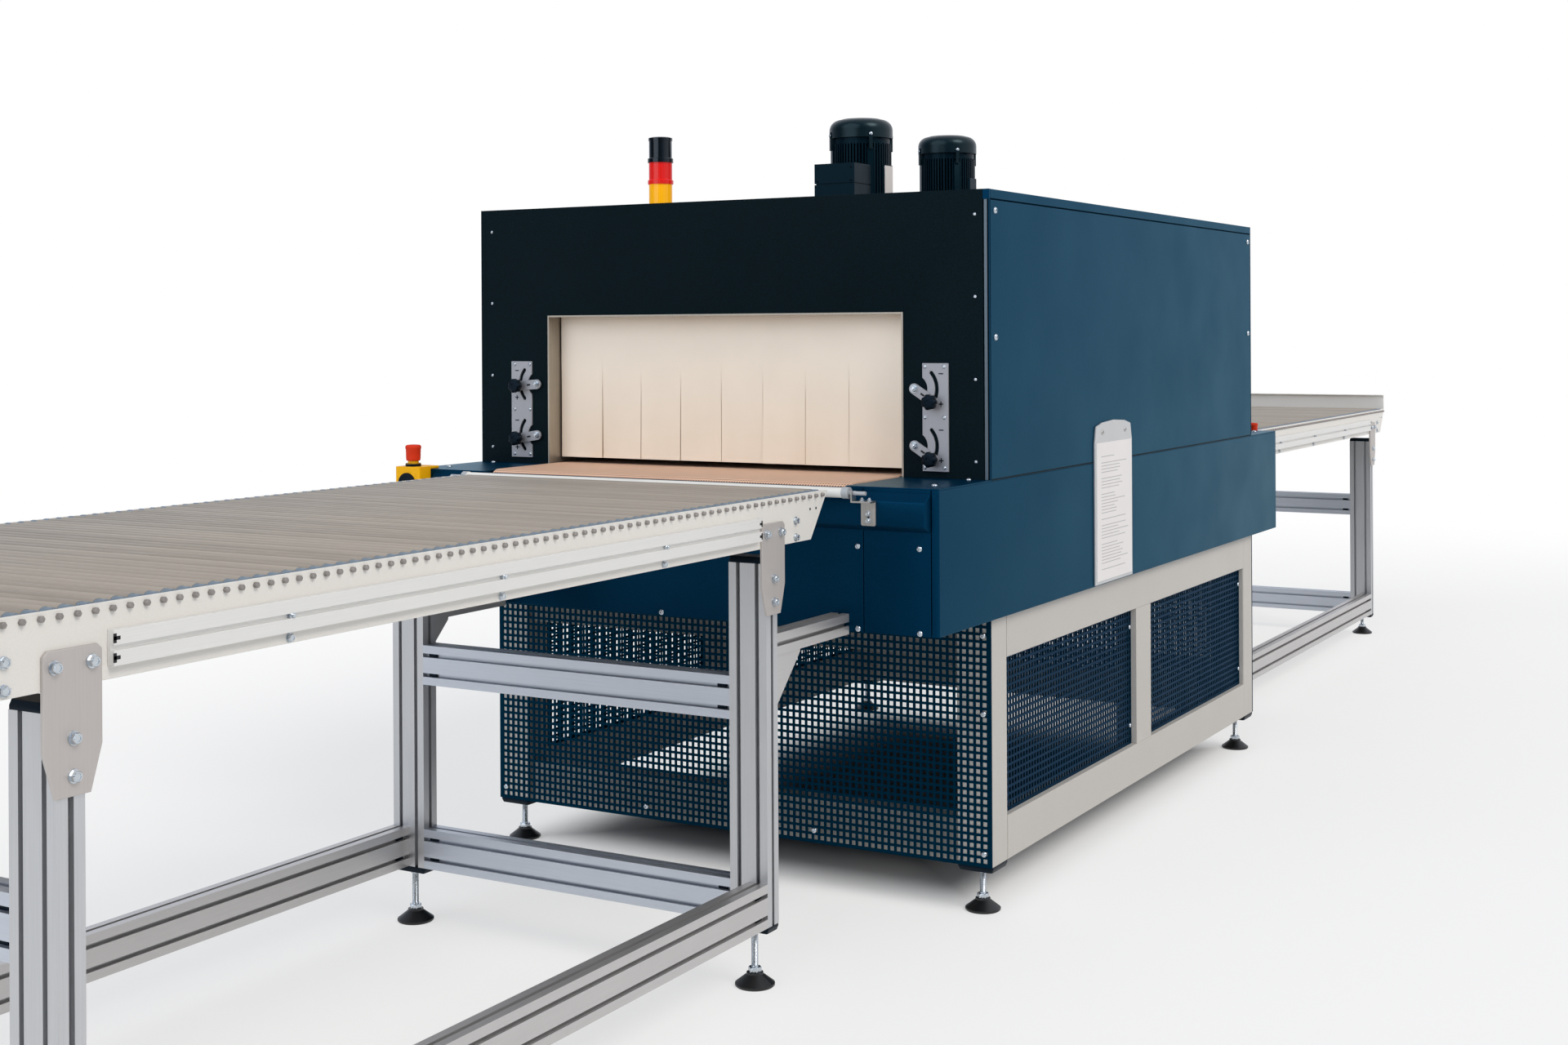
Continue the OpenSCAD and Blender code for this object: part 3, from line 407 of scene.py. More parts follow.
@dataclass(frozen=True)
class Weave(Finish):
    """Open mesh belt of coated yarns that cross at a fixed pitch."""

    pitch: float = 0.0062
    # Dark colour of the openings: painted shade between the yarns.
    painted_shade_opening: Colour = (112, 74, 58)
    worn_size: float = 0.16

    def yarns(self, s: Shader) -> Tuple[Sock, Sock]:
        """Heights of the yarns across and along the belt."""
        turn = math.tau / self.pitch
        return (s.x * turn).sin(), (s.y * turn).sin()

    def mesh(self, s: Shader) -> Sock:
        """One on the yarns and zero in the openings."""
        across, along = self.yarns(s)
        return across.math("MAXIMUM", across, along).step(-0.15, 0.35)

    def tone(self, s: Shader) -> Sock:
        """Coated yarns over openings painted dark as painted shade, browner where the heat has worked."""
        worn = s.noise(self.worn_size, 5.0, (1.0, 0.35, 1.0))
        yarn = s.mix(worn, linear(self.colour, 0.86), linear(self.colour, 1.12))
        return s.mix(self.mesh(s), linear(self.painted_shade_opening), yarn)

    def relief(self, s: Shader) -> Sock:
        """Raised yarns."""
        return s.bump(self.mesh(s), self.grain)


@dataclass(frozen=True)
class CurtainCloth(Finish):
    """Coated heat-proof cloth with a fine weave, creamier low down."""

    stain: Colour = (214, 191, 160)
    stained: Tuple[float, float] = (0.92, 1.15)
    stain_size: float = 0.12
    thread: float = 0.0016
    wave: float = 0.05

    def tone(self, s: Shader) -> Sock:
        """Cream cloth with a soft stain along its lower edge."""
        stain = (1 - s.z.step(*self.stained)) * s.noise(self.stain_size, 5.0, (1.0, 1.0, 0.3))
        return s.mix(stain * 0.55, self.blotch(s, self.colour), linear(self.stain))

    def relief(self, s: Shader) -> Sock:
        """Plain weave with slow waves under it."""
        turn = math.tau / self.thread
        weave = (s.x * turn).sin() * (s.z * turn).sin()
        return s.bump(weave * 0.12 + s.noise(self.wave, 2.0) * 2.0, self.grain)


@dataclass(frozen=True)
class Lens(Finish):
    """Tinted plastic with a painted glow standing in for light through it, with upright flutes inside it."""

    flutes: int = 40
    # Strength of the painted glow.
    glow: float = 0.30

    def tone(self, s: Shader) -> Sock:
        """Flutes seen as lighter and darker stripes round the lens."""
        mid = whole("signal_tower_body").mid
        turn = s.x.math("ARCTAN2", s.y - mid.y, s.x - mid.x)
        flute = abs((turn * (self.flutes / math.tau)).fract() - 0.5) * 2
        return s.mix(flute.step(0.2, 0.8), linear(self.colour, 0.80), linear(self.colour, 1.12))

    def extra(self, s: Shader) -> None:
        """A painted glow standing in for light that passes through the lens."""
        s.surface({"IOR": 1.46, "Emission Color": linear(self.colour), "Emission Strength": self.glow})


@dataclass(frozen=True)
class RuledSheet(Finish):
    """A printed form: plain ruled lines of different lengths."""

    low: Point = (0, 0, 0)
    high: Point = (1, 1, 1)
    rows: int = 44
    ink: Colour = (70, 76, 84)
    ink_share: float = 0.5

    def tone(self, s: Shader) -> Sock:
        """White paper with grey rules."""
        across = (s.y - self.low[1]) / (self.high[1] - self.low[1])
        up = (s.z - self.low[2]) / (self.high[2] - self.low[2])
        row = up * self.rows
        rule = abs(row.fract() - 0.5) < 0.12
        lot = s.chance(row.floor())
        printed = (across > 0.12) * (across < 0.36 + 0.55 * lot) * (lot > 0.22) * (up < 0.93) * (up > 0.07)
        return s.mix(rule * printed * self.ink_share, self.blotch(s, self.colour), linear(self.ink))


BLUE = PowderCoat("blue_paint", (0, 46, 73), 0.36, 0.54, 0.08, (188, 238, 255), slot="blue_paint",
                  mottle=0.14, mottle_size=0.35, grain=0.00010)
# The guards' copy of the blue paint, made darker for the shade low in the frame: painted shade.
GUARD_PAINTED_SHADE = PowderCoat("guard_shaded_paint", (0, 40, 60), 0.40, 0.45, 0.05, (70, 190, 225), slot="blue_paint",
                        grain=0.00005)
BLACK_PANEL = PowderCoat("black_panel", (5, 22, 28), 0.55, specular=0.05, slot="black_paint", mottle=0.2,
                         mottle_size=0.2, grain=0.00022, speck=0.55)
FRAME_GREY = PowderCoat("frame_paint", (193, 189, 183), 0.5, slot="grey_paint", mottle=0.05, mottle_size=0.25,
                        speck=0.05)
RAIL_WHITE = PowderCoat("rail_paint", (229, 226, 220), 0.42, slot="white_paint", mottle=0.05, mottle_size=0.3,
                        speck=0.03)
STEEL = Brushed("stainless", (176, 174, 171), 0.36, 0.9, slot="stainless", grain=0.00002)
LINING = Brushed("lining_steel", (170, 162, 150), 0.4, 0.85, mottle=0.22, grain=0.00002)
PLATE_STEEL = Brushed("plate_steel", (190, 184, 180), 0.5, 0.5, slot="stainless", mottle=0.06, streak=0.05,
                      grain=0.00001)
ADJUSTER = Brushed("adjuster_steel", (164, 165, 170), 0.5, 0.5, slot="stainless", mottle=0.06, streak=0.05,
                   grain=0.00001)
TRIM = Brushed("corner_trim", (92, 104, 113), 0.36, 0.7, slot="stainless", mottle=0.2, grain=0.00002)
ZINC = Finish("zinc", (196, 203, 209), 0.26, 0.95, slot="zinc", mottle=0.2, mottle_size=0.01, grain=0.00001)
# Brushed along each beam. The cross beams' copy is tinted cooler and the long beams' warmer: painted cool
# front light and warm side light on one anodised finish.
ALU_Z = Brushed("anodised_upright", (196, 197, 199), 0.40, 0.80, streak=0.06, grain=0.00001, along=2)
ALU_CROSS_COOL_LIT = Brushed("anodised_cool_lit_cross", (195, 201, 210), 0.40, 0.80, streak=0.06, grain=0.00001, along=0)
ALU_LONG_WARM_LIT = Brushed("anodised_warm_lit_long", (198, 196, 195), 0.40, 0.76, streak=0.06, grain=0.00001, along=1)
BEAM = Brushed("anodised_beam", (228, 227, 224), 0.45, 0.3, slot="aluminium", streak=0.03, mottle=0.04,
               grain=0.00001, along=1)
SHAFT = Finish("shaft_end", (146, 141, 137), 0.45, 0.5, slot="zinc", mottle=0.3, mottle_size=0.008)
BLACK = Finish("black_plastic", (8, 15, 19), 0.42, 0.0, 0.2, (160, 205, 255), slot="black_plastic",
               mottle=0.2, grain_size=0.0012, grain=0.00004)
RUBBER = Finish("foot_rubber", (17, 18, 19), 0.38, mottle=0.25, grain_size=0.0015, grain=0.00003)
TOWER_BLACK = Finish("tower_black", (7, 13, 17), 0.2, 0.0, 0.2, (190, 225, 255), 0.5, slot="black_plastic",
                     mottle=0.1, grain=0.000002)
MOTOR = PowderCoat("motor_enamel", (4, 21, 30), 0.32, 0.0, 0.12, (150, 215, 245), slot="motor_black",
                   mottle=0.2, grain=0.00007, speck=0.2)
COWL = PowderCoat("cowl_enamel", (5, 23, 29), 0.28, 0.0, 0.32, (190, 225, 235), slot="motor_black",
                  mottle=0.2, grain=0.00005, speck=0.2)
# Near black put in slits, holes and slot ends: painted shade.
PAINTED_SHADE = Finish("painted_shade_slot", (20, 22, 26), 0.7, slot="black_plastic")
TUBE = RollerTube("roller_tube", (158, 149, 138), 0.45, specular=0.3, slot="roller_grey", grain=0.00001)
TUBE_END = Finish("roller_end", (112, 126, 138), 0.45, slot="roller_grey")
WHITE_TUBE = Banded("transfer_tube", (226, 225, 220), 0.35, mottle=0.05)
BELT = Weave("belt_mesh", (232, 192, 164), 0.6, grain=0.0006)
CLOTH = CurtainCloth("curtain_cloth", (246, 234, 217), 0.75, specular=0.25, slot="curtain", mottle=0.05,
                     grain=0.0004)
AMBER = Lens("amber_lens", (255, 176, 0), 0.3, specular=0.2, coat=0.4, mottle=0.04, grain=0.000002)
LENS_RED = Lens("red_lens", (214, 24, 18), 0.3, specular=0.2, coat=0.4, slot="lens_red", mottle=0.04,
                grain=0.000002)
YELLOW = Finish("stop_yellow", (238, 174, 10), 0.45, specular=0.15, slot="yellow", mottle=0.06)
STOP_RED = Finish("stop_red", (214, 56, 26), 0.5, specular=0.12, slot="stop_red", mottle=0.08)
NAME_PLATE = Finish("name_plate", (226, 217, 208), 0.4, 0.3, slot="aluminium", mottle=0.05, grain=0.00001)
BOARD = Finish("board_plastic", (186, 188, 190), 0.32, coat=0.3, slot="clear_grey", mottle=0.05)


class Shape(Enum):
    """Outline of a ring of a turned solid."""

    ROUND = 0
    HEX = 1
    LOBED = 2


KNOB = ((0, 0, Shape.ROUND), (0.5, 0, Shape.ROUND), (0.46, 0.3, Shape.ROUND), (0.86, 0.34, Shape.LOBED),
        (1, 0.42, Shape.LOBED), (1, 0.86, Shape.LOBED), (0.9, 0.96, Shape.LOBED), (0.66, 1, Shape.ROUND),
        (0.3, 1, Shape.ROUND), (0.26, 0.95, Shape.ROUND), (0, 0.95, Shape.ROUND))
BUTTON_HEAD = ((0, 0), (0.84, 0), (0.89, 0.04), (0.91, 0.14), (0.94, 0.72), (0.99, 0.77), (1, 0.82),
               (0.99, 0.88), (0.93, 0.95), (0.80, 0.985), (0.5, 1), (0, 1))


@dataclass(frozen=True)
class Box:
    """Lowest and highest corner of a solid."""

    low: Vector
    high: Vector

    @property
    def mid(self) -> Vector:
        """Centre."""
        return (self.low + self.high) / 2

    @property
    def size(self) -> Vector:
        """Lengths of the sides."""
        return self.high - self.low

    def faces(self, axis: int) -> Tuple[int, float, float]:
        """Tell on which side of the middle of the line the solid lies.

        Args:
            axis: 0 across the line, 1 along it.

        Returns:
            The side as -1 or 1, then the places of the outer and the inner face.
        """
        if self.mid[axis] > 0:
            return 1, self.high[axis], self.low[axis]
        return -1, self.low[axis], self.high[axis]

    def inset(self, axis: int, by: float) -> Tuple[float, float]:
        """Give two places a little inside the ends along an axis."""
        return self.low[axis] + by, self.high[axis] - by


def whole(node: str) -> Box:
    """Box of a whole node."""
    return Box(*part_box(node))


def solids(node: str) -> List[Box]:
    """Find the separate solids of a node.

    Args:
        node: Name of the node.

    Returns:
        A box for each solid, ordered along the line, then across, then up.
    """
    bm = bmesh.new()
    bm.from_mesh(frame["nodes"][node].data)
    bmesh.ops.remove_doubles(bm, verts=bm.verts, dist=1e-5)
    left = set(bm.verts)
    found = []
    while left:
        heap = [left.pop()]
        corners = []
        while heap:
            vert = heap.pop()
            corners.append(vert.co.copy())
            for edge in vert.link_edges:
                other = edge.other_vert(vert)
                if other in left:
                    left.remove(other)
                    heap.append(other)
        low = Vector([min(c[k] for c in corners) for k in range(3)])
        high = Vector([max(c[k] for c in corners) for k in range(3)])
        found.append(Box(low, high))
    bm.free()
    return sorted(found, key=lambda b: (round(b.mid.y, 3), round(b.mid.x, 3), b.mid.z))


def aim(origin: Point, axis: Point, spin: float = 0.0) -> Matrix:
    """Place a local frame.

    Args:
        origin: Where its origin goes.
        axis: Where its Z axis points.
        spin: Turn about that axis.

    Returns:
        The matrix from local to part coordinates.
    """
    turn = Vector(axis).to_track_quat("Z", "Y").to_matrix().to_4x4()
    return Matrix.Translation(Vector(origin)) @ turn @ Matrix.Rotation(spin, 4, "Z")


def stand(origin: Point, along: Vector, out: Vector) -> Matrix:
    """Place a local frame by two of its axes.

    Args:
        origin: Where its origin goes.
        along: Where its X axis points.
        out: Where its Z axis points.

    Returns:
        The matrix from local to part coordinates.
    """
    place = Matrix((along, out.cross(along), out)).transposed().to_4x4()
    place.translation = Vector(origin)
    return place


def shares(count: int) -> List[float]:
    """Shares from 0 to 1 in a number of equal steps."""
    return [i / count for i in range(count + 1)]


def oblong(u: Point, v: Point) -> List[Tuple[float, float]]:
    """Outline of a rectangle between two places each way."""
    return [(u[0], v[0]), (u[1], v[0]), (u[1], v[1]), (u[0], v[1])]


def stadium(length: float, half: float, steps: int = 16) -> List[Tuple[float, float]]:
    """Outline of a bar with round ends about the origin and a point along X.

    Args:
        length: Distance between the centres of the ends.
        half: Radius of the ends.
        steps: Facets of each end.

    Returns:
        Its points in order.
    """
    outline = []
    for start, turn in ((0, math.pi / 2), (length, -math.pi / 2)):
        for share in shares(steps):
            a = turn + math.pi * share
            outline.append((start + half * math.cos(a), half * math.sin(a)))
    return outline


def cylinder(radius: float, low: float, high: float) -> List[Tuple[float, float]]:
    """Rings of a plain cylinder between two heights."""
    return [(0, low), (radius, low), (radius, high), (0, high)]


def hoop(inner: float, outer: float, low: float, high: float) -> List[Tuple[float, float]]:
    """Rings of a plain hoop between two radii and two heights."""
    return [(inner, low), (outer, low), (outer, high), (inner, high), (inner, low)]


class Maker:
    """Collects the solids of one piece and turns them into an object on a body."""

    def __init__(self, name: str) -> None:
        """Start an empty piece."""
        self.name = name
        self.bm = bmesh.new()

    def box(self, low: Point, high: Point) -> None:
        """Add a block between two corners."""
        made = bmesh.ops.create_cube(self.bm, size=1.0)
        low, high = Vector(low), Vector(high)
        for vert in made["verts"]:
            vert.co = Vector([low[k] + (vert.co[k] + 0.5) * (high[k] - low[k]) for k in range(3)])

    def node(self, name: str) -> None:
        """Add the shape of a CAD node, with its flat faces in one piece."""
        self.bm.from_mesh(frame["nodes"][name].data)
        bmesh.ops.remove_doubles(self.bm, verts=self.bm.verts, dist=1e-5)
        bmesh.ops.dissolve_limit(self.bm, angle_limit=0.01, verts=self.bm.verts, edges=self.bm.edges)

    def ease(self, width: float, segments: int = 2, least: float = 0.6) -> None:
        """Round the sharp edges.

        Args:
            width: Breadth of the rounding.
            segments: Facets across it.
            least: Smallest angle between faces that is rounded.
        """
        sharp = [e for e in self.bm.edges if e.is_manifold and e.calc_face_angle(0) > least]
        bmesh.ops.bevel(self.bm, geom=sharp, offset=width, segments=segments, profile=0.5, affect="EDGES",
                        clamp_overlap=True)

    def lathe(self, profile: Sequence[tuple], place: Matrix, sides: int = 24, lobes: int = 7,
              depth: float = 0.16) -> None:
        """Add a turned solid.

        Args:
            profile: Radius, height and, where it isn't round, the shape of each ring.
            place: Where the axis stands.
            sides: Points round the axis, a multiple of six for hexagons.
            lobes: Number of lobes of a lobed ring.
            depth: Depth of the hollows between them.
        """
        rings = []
        for radius, height, *shape in profile:
            kind = shape[0] if shape else Shape.ROUND
            ring = []
            for i in range(1 if radius == 0 else sides):
                a = math.tau * i / sides
                r = radius
                if kind is Shape.HEX:
                    r *= math.cos(math.pi / 6) / math.cos(a % (math.pi / 3) - math.pi / 6)
                elif kind is Shape.LOBED:
                    r *= 1 - depth * (0.5 - 0.5 * math.cos(lobes * a)) ** 1.5
                ring.append(self.bm.verts.new(place @ Vector((r * math.cos(a), r * math.sin(a), height))))
            rings.append(ring)
        for one, two in zip(rings, rings[1:]):
            for i in range(sides):
                j = (i + 1) % sides
                corners = [one[i % len(one)], one[j % len(one)], two[j % len(two)], two[i % len(two)]]
                face = list(dict.fromkeys(corners))
                if len(face) > 2:
                    self.bm.faces.new(face)

    def prism(self, outline: Sequence[Tuple[float, float]], low: float, high: float, place: Matrix) -> None:
        """Add a flat outline drawn out along its own Z.

        Args:
            outline: Points in order round the outline.
            low: Height of its lower face.
            high: Height of its upper face.
            place: Where the outline lies.
        """
        ends = [[self.bm.verts.new(place @ Vector((u, v, h))) for u, v in outline] for h in (low, high)]
        self.bm.faces.new(ends[0])
        self.bm.faces.new(ends[1])
        for i in range(len(outline)):
            j = (i + 1) % len(outline)
            self.bm.faces.new([ends[0][i], ends[0][j], ends[1][j], ends[1][i]])

    def quilt(self, front: Sequence[Sequence[Point]], back: Sequence[Sequence[Point]]) -> None:
        """Add a thin solid between two grids of points.

        Args:
            front: Rows of points on one side.
            back: The same rows on the other side.
        """
        rims = []
        for grid in (front, back):
            rows = [[self.bm.verts.new(point) for point in row] for row in grid]
            for one, two in zip(rows, rows[1:]):
                for corners in zip(one, one[1:], two[1:], two):
                    self.bm.faces.new(corners)
            sides = [row[-1] for row in rows[1:-1]], [row[0] for row in rows[-2:0:-1]]
            rims.append([*rows[0], *sides[0], *reversed(rows[-1]), *sides[1]])
        near, far = rims
        for i in range(len(near)):
            self.bm.faces.new([near[i - 1], near[i], far[i], far[i - 1]])

    def lattice(self, sheet: Box, flat: int, hole: float, pitch: float, rim: float) -> None:
        """Add a sheet with rows of square holes.

        Args:
            sheet: Box of the sheet.
            flat: Axis across the sheet's thickness.
            hole: Side of a hole.
            pitch: Distance from hole to hole.
            rim: Least breadth of the plain edge.
        """
        low, high = sheet.low, sheet.high
        axes = [k for k in range(3) if k != flat]
        cuts = []
        for k in axes:
            span = high[k] - low[k]
            count = int((span - 2 * rim + pitch - hole) / pitch)
            first = low[k] + (span - (count - 1) * pitch - hole) / 2
            edges = [low[k]]
            for i in range(count):
                edges += [first + i * pitch, first + i * pitch + hole]
            cuts.append(edges + [high[k]])
        grids = []
        for level in (low[flat], high[flat]):
            grid = []
            for u in cuts[0]:
                row = []
                for v in cuts[1]:
                    co = [0.0, 0.0, 0.0]
                    co[flat], co[axes[0]], co[axes[1]] = level, u, v
                    row.append(self.bm.verts.new(co))
                grid.append(row)
            grids.append(grid)
        front, back = grids
        rows, columns = len(cuts[0]) - 1, len(cuts[1]) - 1

        def solid(i: int, j: int) -> bool:
            """Tell whether a cell of the grid is metal."""
            return 0 <= i < rows and 0 <= j < columns and not (i % 2 and j % 2)

        for i in range(rows):
            for j in range(columns):
                if not solid(i, j):
                    continue
                for g in grids:
                    self.bm.faces.new([g[i][j], g[i + 1][j], g[i + 1][j + 1], g[i][j + 1]])
                for di, dj, a, b in ((-1, 0, (i, j), (i, j + 1)), (1, 0, (i + 1, j), (i + 1, j + 1)),
                                     (0, -1, (i, j), (i + 1, j)), (0, 1, (i, j + 1), (i + 1, j + 1))):
                    if not solid(i + di, j + dj):
                        rim_edge = [g[p][q] for g, (p, q) in ((front, a), (front, b), (back, b), (back, a))]
                        self.bm.faces.new(rim_edge)

    def build(self, finish: Finish, body: str = BODY, stands_for: Sequence[str] = (), slot: str = "",
              smooth: float = 35.0) -> bpy.types.Object:
        """Turn what was added into an object.

        Args:
            finish: Its surface.
            body: The CAD body it moves with.
            stands_for: CAD nodes that it replaces.
            slot: Not used.
            smooth: Largest angle in degrees that is shaded smooth.

        Returns:
            The object, riding on its body.
        """
        bmesh.ops.recalc_face_normals(self.bm, faces=self.bm.faces)
        mesh = bpy.data.meshes.new(self.name)
        self.bm.to_mesh(mesh)
        self.bm.free()
        mesh.polygons.foreach_set("use_smooth", [True] * len(mesh.polygons))
        mesh.set_sharp_from_angle(angle=math.radians(smooth))
        mesh.materials.append(finish.material())
        made = bpy.data.objects.new(self.name, mesh)
        bpy.context.scene.collection.objects.link(made)
        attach(made, body)
        if stands_for:
            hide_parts(*stands_for)
        LOG.info("%s: %d faces on %s", self.name, len(mesh.polygons), body)
        return made


class Head(Enum):
    """Kinds of screw head."""

    BUTTON = "domed head with a hexagon socket"
    HEX = "hexagon head on a washer"
    NUT = "hexagon nut with a bolt end on a washer"
    PAN = "low domed head"


def head_profile(kind: Head, r: float) -> List[tuple]:
    """Rings of a screw head.

    Args:
        kind: The kind of head.
        r: Its radius, or that of its washer.

    Returns:
        Radius, height and shape of each ring, from its seat up.
    """
    if kind is Head.HEX:
        w, h, wide = 0.22 * r, 0.78 * r, 0.86 * r
        return [(0, 0), (r, 0), (r, w), (wide, w), (wide, w, Shape.HEX), (wide, w + 0.8 * h, Shape.HEX),
                (0.68 * r, w + h), (0.5 * r, w + h), (0.46 * r, w + 0.86 * h), (0, w + 0.86 * h)]
    if kind is Head.NUT:
        w, h, wide, end = 0.2 * r, 0.62 * r, 0.84 * r, 0.44 * r
        tip = w + 1.65 * h
        return [(0, 0), (r, 0), (r, w), (wide, w), (wide, w, Shape.HEX), (wide, w + 0.85 * h, Shape.HEX),
                (0.66 * r, w + h), (end, w + h), (end, w + 1.5 * h), (0.36 * r, tip), (0, tip)]
    socket = 0.44 * r
    top = 0.58 * r if kind is Head.BUTTON else 0.42 * r
    return [(0, 0), (r, 0), (r, 0.1 * r), (0.93 * r, 0.45 * top), (0.74 * r, 0.82 * top), (0.5 * r, top),
            (socket, top), (socket, top, Shape.HEX), (0.92 * socket, 0.4 * top, Shape.HEX), (0, 0.4 * top)]


class Screws(Maker):
    """Screw heads of one group, gathered into one piece."""

    def put(self, kind: Head, at: Point, axis: Point, diameter: float) -> None:
        """Add a head on a surface.

        Args:
            kind: The kind of head.
            at: Its seat.
            axis: The way it faces.
            diameter: Its breadth.
        """
        spin = (at[0] * 7.3 + at[1] * 11.1 + at[2] * 5.7) % 1.0
        self.lathe(head_profile(kind, diameter / 2), aim(at, axis, spin), 18)

    def grid(self, kind: Head, spots: Sequence[Sequence[float]], axis: Point, diameter: float) -> None:
        """Add heads at every mix of three rows of places.

        Args:
            kind: The kind of head.
            spots: Places along X, along Y and along Z.
            axis: The way they face.
            diameter: Their breadth.
        """
        for at in product(*spots):
            self.put(kind, at, axis, diameter)


def dress(finish: Finish, *nodes: str) -> None:
    """Give CAD nodes their finish."""
    for name in nodes:
        mesh = frame["nodes"][name].data
        mesh.materials.clear()
        mesh.materials.append(finish.material())


def eased(node: str, finish: Finish, width: float) -> None:
    """Replace a CAD node by the same shape with rounded edges.

    Args:
        node: The CAD node.
        finish: Its surface.
        width: Breadth of the rounding.
    """
    maker = Maker(node + "_eased")
    maker.node(node)
    maker.ease(width)
    maker.build(finish, stands_for=[node], smooth=CRISP)


@dataclass(frozen=True)
class Lamp:
    """A soft sun, given where its light comes from, its strength, its breadth in degrees and its colour."""

    name: str
    source: Point
    strength: float
    spread: float
    colour: Colour
    height: float = 4.0

    def build(self) -> None:
        """Add the lamp to the scene."""
        data = bpy.data.lights.new(self.name, "SUN")
        data.energy = self.strength
        data.angle = math.radians(self.spread)
        data.color = linear(self.colour)[:3]
        made = bpy.data.objects.new(self.name, data)
        made.matrix_world = aim((0, 0, self.height), self.source)
        bpy.context.scene.collection.objects.link(made)


@dataclass
class Studio:
    """Camera, floor and light."""

    lens: float = 44.33
    sensor: float = 36.0
    rise: float = -0.1233
    yaw: float = 0.52242
    roll: float = 0.00532
    eye: Tuple[float, float, float] = (2.2451, -4.6052, 1.2086)
    sight: float = 200.0
    floor_size: float = 60.0
    floor_tone: Colour = (246, 246, 245)
    # Dark colour and edges of the painted shadow under the machine.
    painted_shadow_tone: Colour = (48, 54, 60)
    painted_shadow_rim: Tuple[float, float] = (-0.38, -0.07)
    near_rim: Tuple[float, float] = (-0.20, 0.05)
    near_white: float = 0.58
    far_rim: Tuple[float, float] = (0.8, 4.5)
    far_white: float = 0.42
    ambient: float = 0.40
    dim: float = 0.07
    sky_tone: Colour = (242, 246, 255)
    dim_tone: Colour = (176, 203, 240)
    key: Lamp = Lamp("key_light", (0.78, -0.20, 0.74), 1.55, 30, (255, 250, 243))
    front: Lamp = Lamp("front_light", (-0.22, -0.90, 0.42), 1.5, 60, (240, 246, 255))

    def camera(self) -> None:
        """Place the camera where the photograph was taken."""
        forward = Vector((-math.sin(self.yaw), math.cos(self.yaw), 0))
        level = Vector((math.cos(self.yaw), math.sin(self.yaw), 0))
        right = math.cos(self.roll) * level + math.sin(self.roll) * forward.cross(level)
        data = bpy.data.cameras.new("camera")
        data.lens = self.lens
        data.sensor_width = self.sensor
        data.sensor_fit = "HORIZONTAL"
        data.shift_y = self.rise
        data.clip_end = self.sight
        made = bpy.data.objects.new("camera", data)
        made.matrix_world = stand(self.eye, right, -forward)
        bpy.context.scene.collection.objects.link(made)
        bpy.context.scene.camera = made

    def world(self) -> None:
        """White to the eye, a plain level of light, and a mirrored white that fades to one side."""
        world = bpy.data.worlds.new("studio")
        bpy.context.scene.world = world
        graph = Graph(world)
        eye, mirrored = graph.watched()
        way = graph.node("ShaderNodeTexCoord", {}, {}, "Generated")
        split = graph.node("ShaderNodeSeparateXYZ", {}, {0: way})
        bright = (split.out(1) + 0.35 * split + 0.35 * split.out(2)).step(-0.9, 0.55)
        shine = self.dim + (1 - self.dim) * bright
        tint = graph.mix(mirrored * (1 - bright), linear(self.sky_tone), linear(self.dim_tone))
        level = mirrored * shine + (1 - mirrored) * self.ambient
        lit = graph.node("ShaderNodeBackground", {}, {"Color": tint, "Strength": level})
        white = graph.node("ShaderNodeBackground", {}, {"Color": WHITE, "Strength": 1.0})
        end = graph.tree.nodes.new("ShaderNodeOutputWorld")
        graph.feed(end, {"Surface": graph.blend(eye, lit, white)})

    def floor(self) -> None:
        """A pale floor that keeps the shadow, darkened under the machine by a painted shadow, and fades to
        white far off.
        """
        half = self.floor_size / 2
        mesh = bpy.data.meshes.new("floor")
        corners = [(x, y, 0) for x, y in oblong((-half, half), (-half, half))]
        mesh.from_pydata(corners, [], [(0, 1, 2, 3)])
        shader = Shader("floor")
        eye, mirrored = shader.watched()
        guard = whole("end_guards")
        aside = abs(shader.x) - guard.high.x
        away = aside.math("MAXIMUM", aside, abs(shader.y) - CAD_BOX[1][1])
        under = aside.math("MAXIMUM", aside, abs(shader.y - guard.mid.y) - guard.size.y / 2)
        # Painted shadow: the floor's colour darkens to dark grey under the machine's footprint.
        tone = shader.mix(under.step(*self.painted_shadow_rim), linear(self.painted_shadow_tone), linear(self.floor_tone))
        shader.surface({"Base Color": tone, "Roughness": 0.9, "Specular IOR Level": 0.1})
        fade = self.near_white * under.step(*self.near_rim) + self.far_white * away.step(*self.far_rim)
        share = eye.math("MAXIMUM", eye, mirrored) * fade
        glow = shader.node("ShaderNodeEmission", {}, {"Color": WHITE, "Strength": 1.0})
        plain = Sock(shader, shader.bsdf.outputs[0])
        shader.feed(shader.end, {"Surface": shader.blend(share, plain, glow)})
        mesh.materials.append(shader.material)
        made = bpy.data.objects.new("floor", mesh)
        bpy.context.scene.collection.objects.link(made)

    def build(self) -> None:
        """Set up the whole studio."""
        self.camera()
        self.world()
        self.floor()
        self.key.build()
        self.front.build()
        bpy.context.scene.view_settings.view_transform = "Standard"


